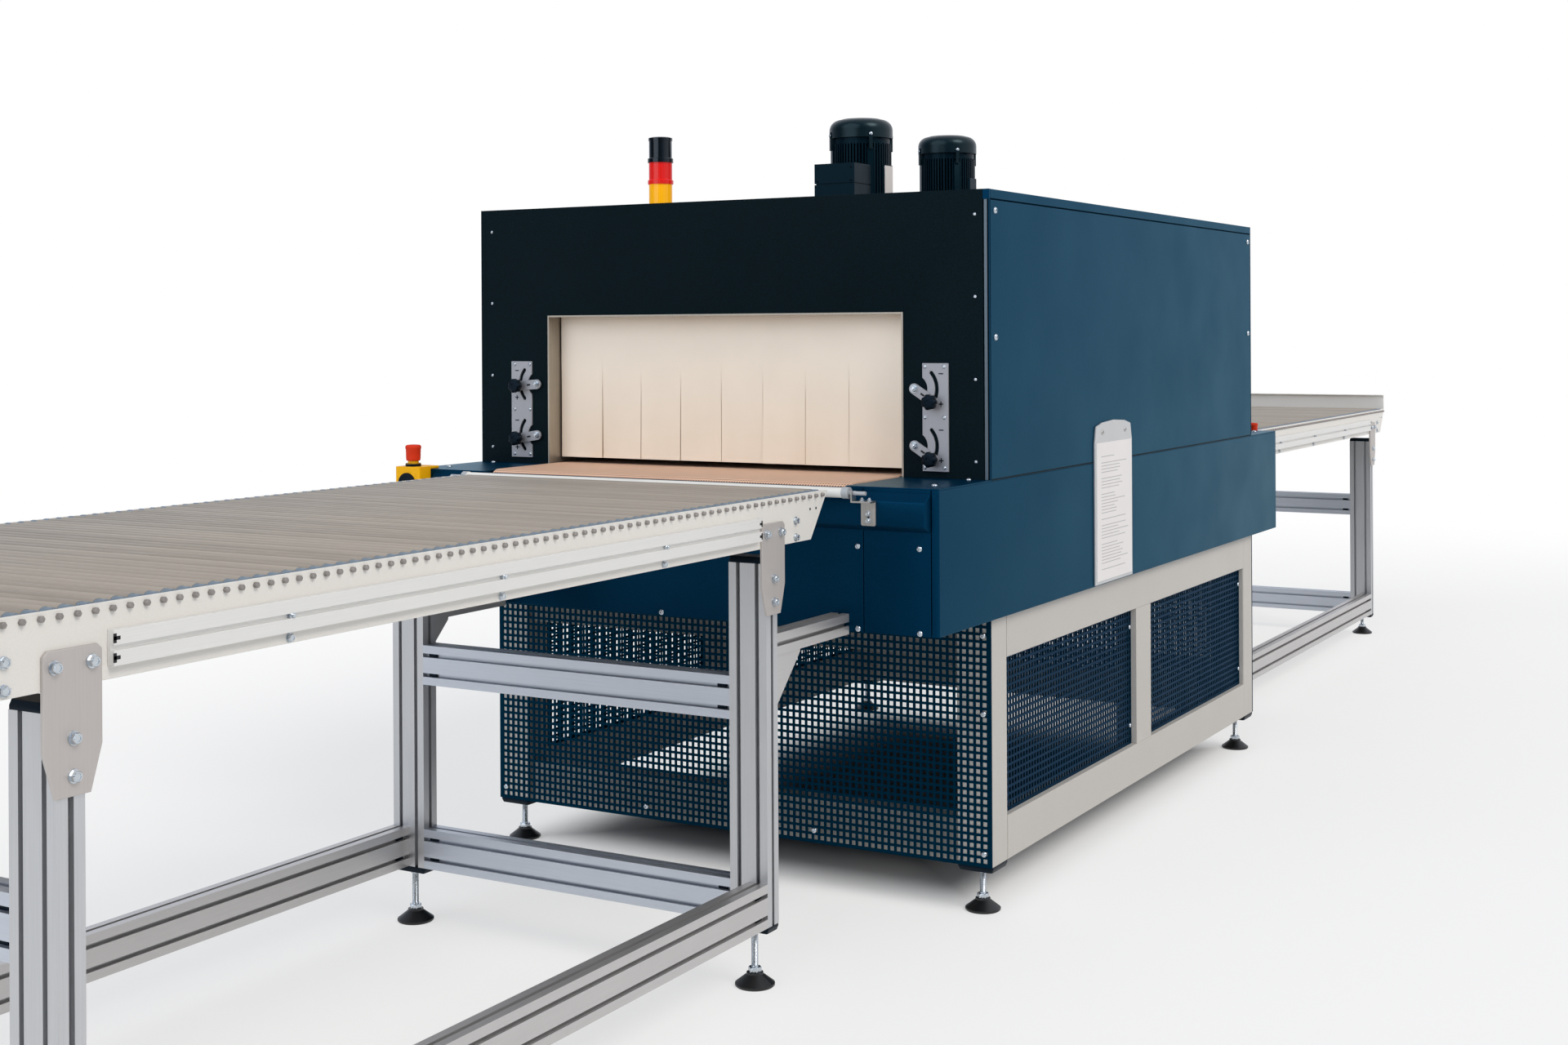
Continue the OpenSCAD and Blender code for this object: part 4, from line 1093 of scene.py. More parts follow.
@dataclass
class BaseFrame:
    """Base frame of the tunnel with its guards and all the levelling feet."""

    hole: float = 0.0100
    pitch: float = 0.0153
    rim: float = 0.006
    screw: float = 0.013
    side_screw: float = 0.01105
    end_inset: float = 0.018
    foot_row: float = 0.027
    mid_row: float = 0.058
    top_row: float = 0.038
    foot_half: float = 0.218
    side_inset: Tuple[float, float] = (0.010, 0.045)
    nut_share: float = 1.95
    thread: float = 0.002
    thread_deep: float = 0.0005
    collar: float = 0.005
    stud_turn: float = 0.3
    edge: float = 0.0012
    cap_edge: float = 0.002

    def guards(self) -> None:
        """Perforated sheets in place of the plain ones."""
        for node, flat in (("end_guards", 1), ("side_guards", 0)):
            maker = Maker(node + "_lattice")
            for sheet in solids(node):
                maker.lattice(sheet, flat, self.hole, self.pitch, self.rim)
            maker.build(GUARD_PAINTED_SHADE, stands_for=[node])

    def screws(self) -> None:
        """Domed screws round the guards."""
        maker = Screws("guard_screws")
        for sheet in solids("end_guards"):
            face, y, _ = sheet.faces(1)
            edge, foot = sheet.high.x - self.end_inset, sheet.low.z + self.foot_row
            heights = (foot, sheet.mid.z + self.mid_row, sheet.high.z - self.top_row)
            maker.grid(Head.BUTTON, ((-edge, edge), (y,), heights), (0, face, 0), self.screw)
            row = ((-self.foot_half, self.foot_half), (y,), (foot,))
            maker.grid(Head.BUTTON, row, (0, face, 0), self.screw)
        for sheet in solids("side_guards"):
            face, x, _ = sheet.faces(0)
            spots = ((x,), sheet.inset(1, self.side_inset[0]), sheet.inset(2, self.side_inset[1]))
            maker.grid(Head.BUTTON, spots, (face, 0, 0), self.side_screw)
        maker.build(ZINC)

    def feet(self) -> None:
        """Threaded studs with their collars and nuts."""
        maker = Maker("foot_threads")
        for stud in solids("foot_studs"):
            tall, nut = stud.size.z, stud.size.x / 2
            shank = nut / self.nut_share
            nut_h, wide, neck = 1.5 * shank, 1.5 * shank, tall - self.collar
            profile = [(0, 0), (0.86 * nut, 0), (nut, 0.1 * nut_h, Shape.HEX), (nut, 0.9 * nut_h, Shape.HEX),
                       (0.86 * nut, nut_h), (shank, nut_h)]
            height = nut_h + self.thread
            while height < neck - self.thread / 2:
                profile += [(shank, height), (shank - self.thread_deep, height + self.thread / 2)]
                height += self.thread
            profile += [(shank, neck), (wide, neck), (wide, tall), (0, tall)]
            foot = (stud.mid.x, stud.mid.y, stud.low.z)
            maker.lathe(profile, aim(foot, UP, self.stud_turn), 24)
        maker.build(ZINC, stands_for=["foot_studs"])

    def build(self) -> None:
        """Build the guards and dress the frame."""
        eased("frame_posts", FRAME_GREY, self.edge)
        eased("frame_rails", FRAME_GREY, self.edge)
        eased("end_caps", BLACK, self.cap_edge)
        dress(RUBBER, "foot_pads")
        self.guards()
        self.screws()
        self.feet()


@dataclass
class Housing:
    """Blue conveyor housing with decks, nose covers and belt."""

    screw: float = 0.012
    mid_inset: float = 0.012
    mid_rows: Tuple[float, float] = (0.782, 0.620)
    mid_spot: Tuple[float, float] = (0.016, 0.621)
    side_inset: float = 0.024
    side_rows: Tuple[float, float] = (0.783, 0.620)
    deck_row: float = 0.610
    deck_inset: float = 0.074
    hood_off: float = 0.011
    fold: float = 0.0022
    edge: float = 0.0008

    def screws(self) -> None:
        """Domed screws on the end panels and decks."""
        maker = Screws("housing_screws")
        for panel in solids("housing_end_panels"):
            face, y, _ = panel.faces(1)
            side, outer, _ = panel.faces(0)
            if abs(panel.mid.x) < panel.size.x / 2:
                across, rows = panel.inset(0, self.mid_inset), self.mid_rows
                maker.put(Head.BUTTON, (self.mid_spot[0], y, self.mid_spot[1]), (0, face, 0), self.screw)
            else:
                across, rows = (outer - side * self.side_inset,), self.side_rows
            maker.grid(Head.BUTTON, (across, (y,), rows), (0, face, 0), self.screw)
        front, rear = whole("front_panel").low.y - self.hood_off, whole("rear_panel").high.y + self.hood_off
        for deck in solids("decks"):
            side = deck.faces(0)[0]
            spots = ((side * self.deck_row,), (*deck.inset(1, self.deck_inset), front, rear), (deck.high.z,))
            maker.grid(Head.BUTTON, spots, UP, self.screw)
        maker.build(ZINC)

    def build(self) -> None:
        """Dress the panels and belt."""
        eased("housing_side_panels", BLUE, self.fold)
        eased("housing_end_panels", BLUE, self.edge)
        eased("nose_covers", BLUE, self.fold)
        eased("decks", BLUE, self.edge)
        eased("housing_floor", BLUE, self.edge)
        dress(BELT, "belt")
        dress(STEEL, "belt_bed", "belt_drums")
        self.screws()


@dataclass
class Hood:
    """Hood with its black end panels, lining and bright corners."""

    panel_screw: float = 0.0068
    panel_inset: float = 0.018
    panel_rows: Sequence[float] = (0.936, 1.104, 1.273, 1.441)
    side_bolt: float = 0.014
    side_inset: float = 0.024
    side_rows: Tuple[float, float] = (1.449, 1.190)
    lip: float = 0.021
    strip: Tuple[float, float] = (0.0022, 0.0092)
    fold: float = 0.0018
    sunk: float = 0.0012
    shadow_strip_size: float = 0.0016
    shadow_strip_proud: float = 0.0003
    side_edge: float = 0.0012
    roof_edge: float = 0.0015
    panel_edge: float = 0.0008
    trim_edge: float = 0.0005

    def screws(self) -> None:
        """Small screws on the end panels and larger ones on the sides."""
        maker = Screws("hood_screws")
        for panel in (whole("front_panel"), whole("rear_panel")):
            face, y, _ = panel.faces(1)
            spots = (panel.inset(0, self.panel_inset), (y,), self.panel_rows)
            maker.grid(Head.PAN, spots, (0, face, 0), self.panel_screw)
        for panel in solids("hood_side_panels"):
            face, x, _ = panel.faces(0)
            spots = ((x,), panel.inset(1, self.side_inset), self.side_rows)
            maker.grid(Head.BUTTON, spots, (face, 0, 0), self.side_bolt)
        maker.build(ZINC)

    def painted_shadow_strips(self) -> None:
        """Black strip along the foot of each side: a painted shadow in the gap where the hood meets the deck.
        """
        maker = Maker("hood_painted_shadow_strips")
        for panel in solids("hood_side_panels"):
            side, outer, _ = panel.faces(0)
            skin = outer + side * self.shadow_strip_proud
            x, foot = sorted((skin, skin - side * self.shadow_strip_size)), panel.low.z
            # Black strip standing in for the shadow in the gap: painted shadow.
            maker.box((x[0], panel.low.y, foot - self.shadow_strip_size), (x[1], panel.high.y, foot + self.shadow_strip_size))
        maker.build(BLACK_PANEL)

    def corners(self) -> None:
        """Bright strips in grooves beside the folded edges of the sides, and one plain black corner."""
        strips, folds, grooves = Maker("corner_strips"), Maker("corner_folds"), Maker("corner_grooves")
        for trim in solids("corner_trims"):
            side, outer, inner = trim.faces(0)
            face, front, back = trim.faces(1)
            foot, crown = trim.low.z, trim.high.z
            top = crown - self.lip

            def bar(maker: Maker, across: Point, deep: float, up: Point) -> None:
                """Add an upright bar by its places across, its depth under the face and its heights."""
                x, y = sorted(across), sorted((front - face * deep, back))
                maker.box((x[0], y[0], up[0]), (x[1], y[1], up[1]))

            if side < 0 and face < 0:
                bar(grooves, (inner, outer), 0.0, (foot, crown))
                continue
            bar(grooves, (inner, outer), 2.2 * self.sunk, (foot, top))
            bar(strips, [inner + side * off for off in self.strip], self.sunk / 2, (foot, top))
            bar(folds, (outer - side * self.fold, outer), self.sunk / 3, (foot, top))
            bar(folds, (inner, outer), 0.0, (top, crown))
        for maker, finish in ((strips, TRIM), (folds, BLUE), (grooves, BLACK_PANEL)):
            maker.ease(self.trim_edge)
            maker.build(finish, stands_for=["corner_trims"], smooth=CRISP)

    def build(self) -> None:
        """Dress the hood."""
        eased("hood_side_panels", BLUE, self.side_edge)
        eased("hood_roof", BLUE, self.roof_edge)
        eased("front_panel", BLACK_PANEL, self.panel_edge)
        eased("rear_panel", BLACK_PANEL, self.panel_edge)
        self.painted_shadow_strips()
        self.corners()
        dress(LINING, "chamber_lining")
        self.screws()


@dataclass
class Curtains:
    """Slit cloth curtains of two layers at both mouths."""

    strip: float = 0.107
    first_slit: float = -0.3345
    slits: int = 7
    slit_top: float = 0.66
    cloth: float = 0.0014
    gap: float = 0.0008
    lift: float = 0.006
    lean: float = 0.0030
    twist: float = 0.0046
    bow: float = 0.006
    sway: Tuple[float, float] = (-0.0006, 0.0040)
    outer_in: float = 0.0007
    inner_in: float = 0.0038
    rows: int = 22
    columns: int = 6

    def layer(self, node: str, name: str, y: float, face: int, slits: Sequence[float], seed: int) -> None:
        """Build one layer of strips.

        Args:
            node: The CAD curtain it stands for.
            name: Name of the piece.
            y: Middle of the cloth.
            face: The way its outer side looks along Y.
            slits: Places of the slits across the line.
            seed: Start of the small random sways.
        """
        hang = whole(node)
        draw = random.Random(seed)
        maker = Maker(name)
        edges = [hang.low.x, *slits, hang.high.x]
        low, tall = hang.low.z + self.lift, hang.size.z - self.lift
        for left, right in zip(edges, edges[1:]):
            lean, twist = self.lean * draw.uniform(-0.2, 0.9), self.twist * draw.uniform(-1.0, 1.0)
            bow = self.bow * draw.uniform(-0.5, 0.5)
            start = self.slit_top + draw.uniform(-0.05, 0.08)

            def spot(up: float, across: float, skin: float) -> Point:
                """Give a point of the strip by its shares up and across, on one side of the cloth."""
                drop, off = max(0.0, 1 - up / start) ** 1.6, across - 0.5
                gap = self.gap * min(1.0, 5 * drop) * (1 - 2 * across)
                sway = max(self.sway[0], min(self.sway[1], (lean + twist * off + bow * off ** 2) * drop))
                x = left + (right - left) * across + gap
                return (x, y + face * (sway + skin * self.cloth), low + tall * up)

            ups, acrosses = shares(self.rows), shares(self.columns)
            maker.quilt(*[[[spot(u, a, skin) for a in acrosses] for u in ups] for skin in (-0.5, 0.5)])
        made = maker.build(CLOTH, stands_for=[node], smooth=ROUNDED)
        hang.size.x

    def build(self) -> None:
        """Hang both curtains."""
        for node, seed in (("front_curtain", 5), ("rear_curtain", 23)):
            face, outer, _ = whole(node).faces(1)
            slits = [self.first_slit + i * self.strip for i in range(self.slits)]
            self.layer(node, node + "_outer", outer - face * self.outer_in, face, slits, seed)
            between = [self.first_slit + (i + 0.5) * self.strip for i in range(-1, self.slits)]
            self.layer(node, node + "_inner", outer - face * self.inner_in, -face, between, seed + 1)


@dataclass
class Adjusters:
    """Plates with arc slots and the levers that swing on them."""

    plate_edge: float = 0.0006
    screw: float = 0.0085
    screw_offs: Tuple[float, float] = (0.0055, 0.0495)
    foot_in: float = 0.008
    top_in: float = 0.007
    mark: float = 0.0105
    mark_thin: float = 0.0011
    mark_off: float = 0.0425
    mark_proud: float = 0.0003
    mark_sunk: float = 0.0004
    minus_drop: float = 0.0215
    plus_drop: float = 0.0840
    unit_pitch: float = 0.116
    arm_w: float = 0.022
    arm_t: float = 0.004
    arm_gap: float = 0.0045
    arm_edge: float = 0.0007
    slit: Tuple[float, float] = (0.018, 0.028)
    slit_half: float = 0.0020
    slit_sunk: float = 0.0001
    slit_proud: float = 0.0002
    pivot_nut: float = 0.0165
    pin_r: float = 0.005
    pin_len: float = 0.012
    stud_r: float = 0.0035
    stud_len: float = 0.004
    stud_sunk: float = 0.0005
    knob_r: float = 0.0165
    top_deep: float = 0.001

    def plates(self) -> None:
        """Plates with their screws and adjusting marks."""
        eased("adjuster_plates", ADJUSTER, self.plate_edge)
        screws, marks = Screws("adjuster_screws"), Maker("adjuster_marks")
        half, thin, proud, sunk = self.mark / 2, self.mark_thin, self.mark_proud, self.mark_sunk
        for plate in solids("adjuster_plates"):
            side, _, inner = plate.faces(0)
            y, top = plate.low.y, plate.high.z
            across = [inner + side * off for off in self.screw_offs]
            heights = (plate.low.z + self.foot_in, plate.mid.z, top - self.top_in)
            screws.grid(Head.BUTTON, (across, (y,), heights), AHEAD, self.screw)
            x = inner + side * self.mark_off
            for unit in (top, top - self.unit_pitch):
                minus, plus = unit - self.minus_drop, unit - self.plus_drop
                for z in (minus, plus):
                    marks.box((x - half, y - proud, z - thin), (x + half, y + sunk, z + thin))
                marks.box((x - thin, y - 7 / 6 * proud, plus - half), (x + thin, y + sunk, plus + half))
        screws.build(ZINC)
        marks.build(BLACK)

    def lever(self, node: str) -> None:
        """One lever: slit arm, pivot nut and star knob.

        Args:
            node: The CAD lever, which is also the body it moves with.
        """
        joint = next(j for j in frame["joints"] if j["child"] == node)
        pivot = Vector(joint["pos_m"])
        verts = [v.co for v in frame["nodes"][node].data.vertices]
        front = min(v.y for v in verts)
        head = [v for v in verts if v.y < front + self.top_deep]
        knob = Vector((sum(v.x for v in head), 0, sum(v.z for v in head))) / len(head)
        reach = Vector((knob.x - pivot.x, 0, knob.z - pivot.z))
        back = pivot.y - self.arm_gap
        seat = back - self.arm_t
        place = stand((pivot.x, back, pivot.z), reach.normalized(), Vector(AHEAD))
        arm, slit = Maker(node + "_arm"), Maker(node + "_slit")
        arm.prism(stadium(reach.length, self.arm_w / 2), 0, self.arm_t, place)
        arm.ease(self.arm_edge)
        arm.build(ADJUSTER, node, [node], "lever", CRISP)
        # Dark inlay in the arm's slit: painted shade where the slit opens.
        inlay = oblong(self.slit, (-self.slit_half, self.slit_half))
        slit.prism(inlay, self.arm_t - self.slit_sunk, self.arm_t + self.slit_proud, place)
        slit.build(PAINTED_SHADE, node)
        bolt, star = Screws(node + "_pivot"), Maker(node + "_knob")
        bolt.put(Head.NUT, (pivot.x, seat, pivot.z), AHEAD, self.pivot_nut)
        stud = cylinder(self.stud_r, -self.stud_len, self.stud_sunk)
        bolt.lathe(stud, aim((knob.x, back, knob.z), AHEAD), 18)
        bolt.lathe(cylinder(self.pin_r, 0, self.pin_len), aim((pivot.x, back, pivot.z), (0, 1, 0)), 18)
        bolt.build(ZINC, node, slot="lever")
        r, tall = self.knob_r, seat - front
        rings = [(wide * r, up * tall, shape) for wide, up, shape in KNOB]
        star.lathe(rings, aim((knob.x, seat, knob.z), AHEAD), 56)
        star.build(BLACK, node, smooth=ROUNDED)

    def build(self) -> None:
        """Build plates and levers."""
        self.plates()
        for side in ("right", "left"):
            for level in ("upper", "lower"):
                self.lever("lever_%s_%s" % (side, level))


@dataclass
class RoofGear:
    """Fan motors and signal tower on the roof."""

    edge: float = 0.0009
    lugs: int = 4
    strap: float = 0.0045
    strap_low: float = 0.030
    strap_high: float = 0.016
    small_edge: float = 0.0006
    vents: int = 5
    vent_tall: float = 0.002
    vent_sunk: float = 0.0004
    fins: int = 30
    fin: float = 0.0038
    flange: float = 0.012
    band: float = 0.016
    plate: Tuple[float, float] = (0.040, 0.070)
    plate_top: float = 0.120
    plate_turn: float = -0.02
    plate_out: float = 0.002
    plate_sunk: float = 0.0005
    plate_proud: float = 0.0012
    plate_edge: float = 0.0004
    lid_screw: float = 0.007
    lid_inset: float = 0.009
    ring: float = 0.0105
    ring_edge: float = 0.0012
    red_proud: float = 0.0004
    black_proud: float = 0.0009
    cap_h: float = 0.004
    ribs: int = 12
    rib_r: float = 0.0022
    rib_in: float = 0.0013

    def outward(self, centre: Vector, turn: float, reach: float, z: float) -> Matrix:
        """Place a frame on the side of a motor.

        Args:
            centre: Middle of the motor.
            turn: Share of a turn about it.
            reach: Distance from the middle.
            z: Height.

        Returns:
            A frame with X round the motor, Y up and Z outwards.
        """
        out = Vector((math.cos(math.tau * turn), math.sin(math.tau * turn), 0))
        return stand(Vector((centre.x, centre.y, z)) + out * reach, Vector((-out.y, out.x, 0)), out)

    def motors(self) -> None:
        """Cast motors with cowl straps, fins and vent rings."""
        eased("motor_bodies", MOTOR, self.edge)
        dress(COWL, "motor_cowls")
        straps, vents, fins = Maker("motor_straps"), Maker("motor_vents"), Maker("motor_fins")
        screws = Screws("motor_screws")
        w, top, foot = self.strap, self.strap_high, -self.strap_low
        outline = [(-w, foot), (w, foot), (w, top - w), (w / 2, top), (-w / 2, top), (-w, top - w)]
        base = whole("motor_bodies").low.z + self.flange
        for cowl in solids("motor_cowls"):
            mid, r, low = cowl.mid, cowl.size.x / 2, cowl.low.z
            for i in range(self.lugs):
                place = self.outward(mid, (i + 0.5) / self.lugs, 0.9 * r, low)
                straps.prism(outline, 0, 0.13 * r, place)
                screws.put(Head.PAN, place @ Vector((0, top - 2 * w, 0.13 * r)), place.col[2][:3], 2 * w)
            for i in range(self.fins):
                place = self.outward(mid, (i + 0.5) / self.fins, 0.76 * r, base)
                fin = oblong((-self.fin / 2, self.fin / 2), (0, low - self.band - base))
                fins.prism(fin, 0, 0.19 * r, place)
            for i in range(self.vents):
                start = (0.15 + 0.11 * i) * r
                place = Matrix.Translation((mid.x, mid.y, cowl.high.z - self.vent_sunk))
                vents.lathe(hoop(start, start + 0.04 * r, 0, self.vent_tall), place, 40)
        for maker, finish in ((straps, COWL), (fins, MOTOR)):
            maker.ease(self.small_edge)
            maker.build(finish, smooth=CRISP)
        vents.build(MOTOR)
        screws.build(ZINC)

    def labels(self) -> None:
        """Blank rating plate, and screws in the corners of the terminal box's lid."""
        body, cowl = whole("motor_bodies"), solids("motor_cowls")[0]
        r, foot = cowl.size.x / 2, body.low.z
        wide, tall = self.plate
        reach, turn = 0.95 * r + self.plate_out, self.plate_turn / math.tau
        place = self.outward(cowl.mid, turn, reach, foot + self.plate_top - tall)
        plate = Maker("rating_plate")
        plate.prism(oblong((-wide / 2, wide / 2), (0, tall)), -self.plate_sunk, self.plate_proud, place)
        plate.ease(self.plate_edge)
        plate.build(NAME_PLATE, smooth=CRISP)
        half, low, high = 0.7 * r - self.lid_inset, foot + 0.16 * (cowl.high.z - foot), 1.04 * r
        screws = Screws("terminal_screws")
        across, rows = (cowl.mid.x - half, cowl.mid.x + half), (low + high / 2, low + high - self.lid_inset)
        screws.grid(Head.PAN, (across, (body.low.y,), rows), AHEAD, self.lid_screw)
        screws.build(BLACK)

    def tower(self) -> None:
        """Signal tower with its lenses, ribbed rings and cap."""
        dress(TOWER_BLACK, "signal_tower_body")
        dress(AMBER, "signal_tower_amber")
        dress(LENS_RED, "signal_tower_red")
        red, body = whole("signal_tower_red"), whole("signal_tower_body")
        mid, r = body.mid, red.size.x / 2
        tall, bevel, core, reach = self.ring, self.ring_edge, 0.86 * r, r - self.rib_in
        rib = cylinder(self.rib_r, bevel, tall - 1.5 * bevel)
        for name, level, out, finish in (("tower_red_ring", red.low.z, r + self.red_proud, LENS_RED),
                                         ("tower_black_ring", red.high.z, r + self.black_proud, TOWER_BLACK)):
            ring = Maker(name)
            profile = [(core, 0), (out, 0), (out, tall - bevel), (out - bevel, tall), (core, tall), (core, 0)]
            ring.lathe(profile, Matrix.Translation((mid.x, mid.y, level)), 48)
            for i in range(self.ribs):
                a = math.tau * i / self.ribs
                spot = (mid.x + reach * math.cos(a), mid.y + reach * math.sin(a), level)
                ring.lathe(rib, Matrix.Translation(spot), 12)
            ring.build(finish)
        cap = Maker("tower_cap")
        high = self.cap_h
        cap.lathe([(0, 0), (0.93 * r, 0), (0.95 * r, 0.25 * high), (0.8 * r, 0.75 * high), (0, high)],
                  Matrix.Translation((mid.x, mid.y, body.high.z - bevel)), 40)
        cap.build(TOWER_BLACK)

    def build(self) -> None:
        """Build all that stands on the roof."""
        self.motors()
        self.labels()
        self.tower()


@dataclass
class EmergencyStops:
    """Yellow boxes with red push buttons at both ends of the line."""

    edge: float = 0.003
    sleeve_r: float = 0.012
    sleeve_gap: float = 0.0006
    collar_r: float = 0.0174
    collar_low: float = -0.0066
    collar_top: float = 0.0003
    collar_edge: float = 0.0012
    gland_r: float = 0.0236
    gland_up: float = 0.037
    shelf: float = 0.028
    shelf_left: float = 0.004
    shelf_right: float = 0.002
    shelf_front: float = 0.001
    shelf_down: float = 0.007
    shelf_edge: float = 0.0015
    head_h: float = 0.031
    head_more: float = 0.0045
    head_wide: float = 0.0012
    stem_less: float = 0.0036
    stem_in: float = 0.0002

    def boxes(self) -> None:
        """Boxes with black collars and glands, and the shelf behind the front one."""
        eased("estop_boxes", YELLOW, self.edge)
        black, shelf = Maker("estop_collars"), Maker("estop_shelf")
        bore, wide, edge = self.sleeve_r + self.sleeve_gap, self.collar_r, self.collar_edge
        low, top = self.collar_low, self.collar_top
        collar = [(bore, low), (wide, low), (wide, -edge), (wide - edge, top), (bore, top), (bore, low)]
        r = self.gland_r
        gland = [(0, -0.003), (r, -0.003), (r, 0.0002), (r - 0.001, 0.0012), (0.78 * r, 0.0012),
                 (0.74 * r, 0.0004), (0.5 * r, 0.0004), (0.46 * r, 0.0016, Shape.HEX), (0, 0.0016)]
        units = solids("estop_boxes")
        for unit, button in zip(units, BUTTONS):
            mid = whole(button).mid
            black.lathe(collar, Matrix.Translation((mid.x, mid.y, unit.high.z)), 36)
            face, front, _ = unit.faces(1)
            black.lathe(gland, aim((unit.mid.x, front, unit.low.z + self.gland_up), (0, face, 0)), 36)
        black.build(BLACK)
        unit, deck = units[0], whole("decks")
        shelf.box((unit.low.x + self.shelf_left, deck.low.y - self.shelf_front, deck.high.z),
                  (unit.high.x - self.shelf_right, deck.low.y + self.shelf, unit.high.z - self.shelf_down))
        shelf.ease(self.shelf_edge)
        shelf.build(YELLOW)

    def button(self, node: str) -> None:
        """Red head and yellow sleeve of one button.

        Args:
            node: The CAD button, which is also the body it moves with.
        """
        unit = whole(node)
        r, tall = unit.size.x / 2 + self.head_wide, self.head_h + self.head_more
        start = unit.high.z - self.head_h
        place = Matrix.Translation((unit.mid.x, unit.mid.y, start))
        head, sleeve = Maker(node + "_head"), Maker(node + "_sleeve")
        head.lathe([(wide * r, up * tall) for wide, up in BUTTON_HEAD], place, 48)
        head.build(STOP_RED, node, [node], smooth=40)
        stem = cylinder(self.sleeve_r, unit.low.z - start + self.stem_less, self.stem_in)
        sleeve.lathe(stem, place, 36)
        sleeve.build(YELLOW, node)

    def build(self) -> None:
        """Build boxes and buttons."""
        self.boxes()
        for node in BUTTONS:
            self.button(node)


@dataclass
class DocumentPocket:
    """Board with a ruled form on the side of the housing."""

    edge: float = 0.0012
    rivet: float = 0.012
    rivet_half: float = 0.075
    rivet_down: float = 0.026

    def build(self) -> None:
        """Dress the board, the form and its rivets."""
        eased("document_holder", BOARD, self.edge)
        sheet, board = whole("document_sheet"), whole("document_holder")
        form = RuledSheet("ruled_form", (234, 230, 229), 0.6, mottle=0.03, low=tuple(sheet.low),
                          high=tuple(sheet.high))
        dress(form, "document_sheet")
        rivets = Screws("pocket_rivets")
        along = (board.mid.y - self.rivet_half, board.mid.y + self.rivet_half)
        spots = ((board.high.x,), along, (board.high.z - self.rivet_down,))
        rivets.grid(Head.PAN, spots, (1, 0, 0), self.rivet)
        rivets.build(STEEL)


@dataclass
class TransferRollers:
    """Rollers between the tables and the belt, in hooks on slotted angle brackets."""

    edge: float = 0.0006
    bolt: float = 0.011
    bolt_in: float = 0.016
    bolt_rows: Tuple[float, float] = (0.010, 0.024)
    plate: float = 0.003
    ledge: float = 0.049
    ledge_out: float = 0.010
    nuts_in: Tuple[float, float] = (0.008, 0.024)

    def build(self) -> None:
        """Dress rollers and brackets and add the bolts."""
        dress(WHITE_TUBE, "front_transfer_roller", "rear_transfer_roller")
        eased("transfer_brackets", STEEL, self.edge)
        bolts, nose = Screws("bracket_bolts"), whole("nose_covers")
        for bracket in solids("transfer_brackets"):
            face = bracket.faces(1)[0]
            side, outer, _ = bracket.faces(0)
            y = (nose.low.y if face < 0 else nose.high.y) + face * self.plate
            foot = bracket.low.z
            rows = [foot + up for up in self.bolt_rows]
            bolts.grid(Head.HEX, ((outer - side * self.bolt_in,), (y,), rows), (0, face, 0), self.bolt)
            across = [outer - side * off for off in self.nuts_in]
            bolts.grid(Head.NUT, (across, (y + face * self.ledge_out,), (foot + self.ledge,)), UP, self.bolt)
        bolts.build(ZINC)


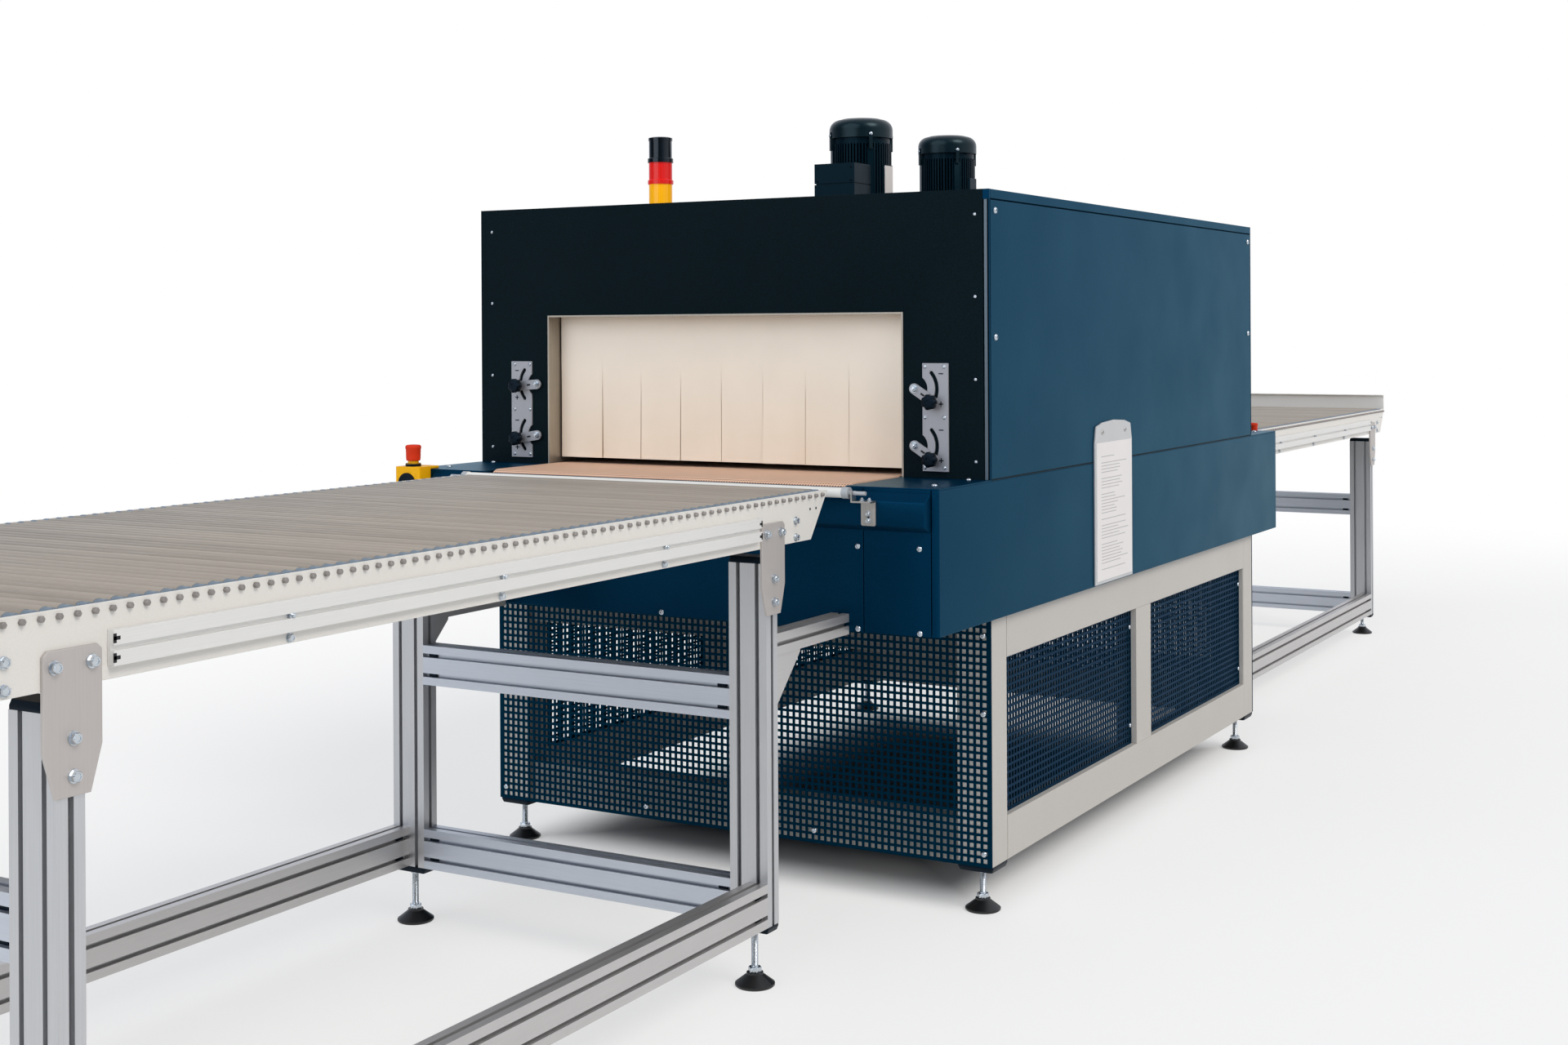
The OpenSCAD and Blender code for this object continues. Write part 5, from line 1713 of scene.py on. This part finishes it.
@dataclass
class RollerTables:
    """Infeed and outfeed tables: rails, rollers, beams and legs."""

    edge: float = 0.0008
    plate_edge: float = 0.0009
    shaft_out: float = 0.006
    shaft_r: float = 0.0040
    shaft_edge: float = 0.001
    shaft_gap: float = 0.004
    cap_len: float = 0.016
    cap_edge: float = 0.0018
    tube_edge: float = 0.0006
    plate_bolt: float = 0.0165
    plate_bolts: Sequence[Tuple[float, float]] = ((-0.026, 0.019), (0.026, 0.019), (0.0, 0.102), (0.0, 0.145))
    beam_nut: float = 0.0135
    beam_bolt: float = 0.0125
    beam_pitch: float = 0.434
    beam_shift: float = 0.011
    nut_sunk: float = 0.006
    bolt_ahead: float = 0.004
    bolt_under: float = 0.0085
    slot_share: float = 0.27
    slot_sunk: float = 0.001
    slot_past: float = 0.0004
    hole_sunk: float = 0.0004
    dark_proud: float = 0.0003
    slot_steps: Sequence[Tuple[float, float]] = ((0.009, 0.0022), (0.0035, 0.0055))
    rail_bolt: float = 0.0145
    rail_bolt_in: float = 0.127
    rail_rows: Tuple[float, float] = (0.049, 0.080)
    rail_hole: float = 0.0026
    painted_shade_holes: Tuple[float, float] = (0.047, 0.070)
    rail_hole_down: float = 0.032
    connector_rows: Tuple[float, float] = (0.020, 0.060)
    connector: Tuple[float, float] = (0.010, 0.030)
    connector_half: float = 0.0038
    connector_sunk: float = 0.0065
    connector_deep: float = 0.004

    def rollers(self, node: str) -> None:
        """Tubes with plastic ends, and the shaft ends outside the rails.

        Args:
            node: The CAD rollers of one table.
        """
        tubes, caps, shafts = Maker(node + "_tubes"), Maker(node + "_ends"), Maker(node + "_shafts")
        rail, cap, far = whole("table_side_rails").high.x, self.cap_len, self.shaft_out
        gap, thick = self.shaft_gap, self.shaft_r
        shaft = [(0, 0), (thick, 0, Shape.HEX), (thick, far - self.shaft_edge, Shape.HEX),
                 (0.72 * thick, far), (0, far)]
        for roller in solids(node):
            mid, r = roller.mid, roller.size.z / 2
            half = roller.size.x / 2 - gap
            end, edge = 2 * half - cap, self.tube_edge
            wide, thin, neck = 0.94 * r, 0.88 * r, 0.97 * r
            tube = [(0, cap), (neck, cap), (r, cap + edge), (r, end - edge), (neck, end), (0, end)]
            tubes.lathe(tube, aim((mid.x - half, mid.y, mid.z), (1, 0, 0)), 20)
            profile = [(0, -gap), (thick, -gap), (thick, 0), (0.72 * r, 0), (wide, self.cap_edge),
                       (wide, 0.62 * cap), (thin, 0.66 * cap), (thin, 0.8 * cap), (wide, 0.84 * cap),
                       (wide, cap), (0, cap)]
            for way in (-1, 1):
                caps.lathe(profile, aim((mid.x + way * half, mid.y, mid.z), (-way, 0, 0)), 16)
                shafts.lathe(shaft, aim((mid.x + way * (rail - mid.x), mid.y, mid.z), (way, 0, 0)), 12)
        tubes.build(TUBE, stands_for=[node])
        caps.build(TUBE_END)
        shafts.build(SHAFT)

    def bolts(self) -> None:
        """Bolts of plates, beams and rail ends, and dark holes and beam slot ends beside them as painted
        shade.
        """
        maker, dark = Screws("table_bolts"), Maker("painted_shade_holes")
        for plate in solids("leg_plates"):
            side, x, _ = plate.faces(0)
            for off, down in self.plate_bolts:
                spot = (x, plate.mid.y + off, plate.high.z - down)
                maker.put(Head.HEX, spot, (side, 0, 0), self.plate_bolt)
        for beam in solids("table_side_beams"):
            side, x, wall = beam.faces(0)
            along = [beam.mid.y + i * self.beam_pitch - self.beam_shift for i in (-1, 0, 1)]
            spots = ((x - side * self.nut_sunk,), along, (beam.mid.z,))
            maker.grid(Head.NUT, spots, (side, 0, 0), self.beam_nut)
            spots = ((wall,), [y + self.bolt_ahead for y in along], (beam.low.z - self.bolt_under,))
            maker.grid(Head.HEX, spots, (side, 0, 0), self.beam_bolt)
            # Dark boxes in the slot ends of the beams: painted shade.
            skin = sorted((x - side * self.slot_sunk, x + side * self.dark_proud))
            rise = self.slot_share * beam.size.z
            for end, way in ((beam.low.y, 1), (beam.high.y, -1)):
                for z, (deep, tall) in product((beam.mid.z - rise, beam.mid.z + rise), self.slot_steps):
                    reach = sorted((end - way * self.slot_past, end + way * deep))
                    dark.box((skin[0], reach[0], z - tall), (skin[1], reach[1], z + tall))
        # Dark discs in the rail holes: painted shade.
        hole = cylinder(self.rail_hole, -self.hole_sunk, self.dark_proud)
        for rail in solids("table_side_rails"):
            side, x, _ = rail.faces(0)
            rows = [rail.high.z - down for down in self.rail_rows]
            maker.grid(Head.HEX, ((x,), rail.inset(1, self.rail_bolt_in), rows), (side, 0, 0), self.rail_bolt)
            for off in self.painted_shade_holes:
                for y in rail.inset(1, off):
                    dark.lathe(hole, aim((x, y, rail.high.z - self.rail_hole_down), (side, 0, 0)), 16)
        maker.build(ZINC)
        dark.build(PAINTED_SHADE)

    def connectors(self) -> None:
        """Dark fasteners in the slots at the ends of the beams."""
        maker = Maker("slot_connectors")
        for node, long in (("table_cross_beams", 0), ("table_lower_beams", 1)):
            wide = 1 - long
            for beam, up, face in product(solids(node), self.connector_rows, (-1, 1)):
                edge = beam.mid[wide] + face * (beam.size[wide] / 2 - self.connector_sunk)
                z = beam.low.z + up
                for reach in zip(beam.inset(long, self.connector[0]), beam.inset(long, self.connector[1])):
                    low, high = [z - self.connector_half] * 3, [z + self.connector_half] * 3
                    low[long], high[long] = sorted(reach)
                    low[wide], high[wide] = sorted((edge, edge - face * self.connector_deep))
                    maker.box(low, high)
        maker.ease(self.edge)
        maker.build(BLACK)

    def build(self) -> None:
        """Build both tables."""
        eased("table_side_rails", RAIL_WHITE, self.edge)
        eased("outfeed_end_stop", RAIL_WHITE, self.edge)
        eased("leg_plates", PLATE_STEEL, self.plate_edge)
        eased("table_side_beams", BEAM, self.edge)
        dress(ALU_Z, "table_legs")
        dress(ALU_CROSS_COOL_LIT, "table_cross_beams")
        dress(ALU_LONG_WARM_LIT, "table_lower_beams", "dock_beams")
        self.rollers("infeed_rollers")
        self.rollers("outfeed_rollers")
        self.bolts()
        self.connectors()


def main() -> None:
    """Build the studio and every sub-assembly in order."""
    logging.basicConfig(level=logging.INFO)
    for kind in (Studio, BaseFrame, Housing, Hood, Curtains, Adjusters, RoofGear, EmergencyStops,
                 DocumentPocket, TransferRollers, RollerTables):
        part = kind()
        part.build()
        LOG.info("%s built", type(part).__name__)


if __name__ == "__main__":
    main()
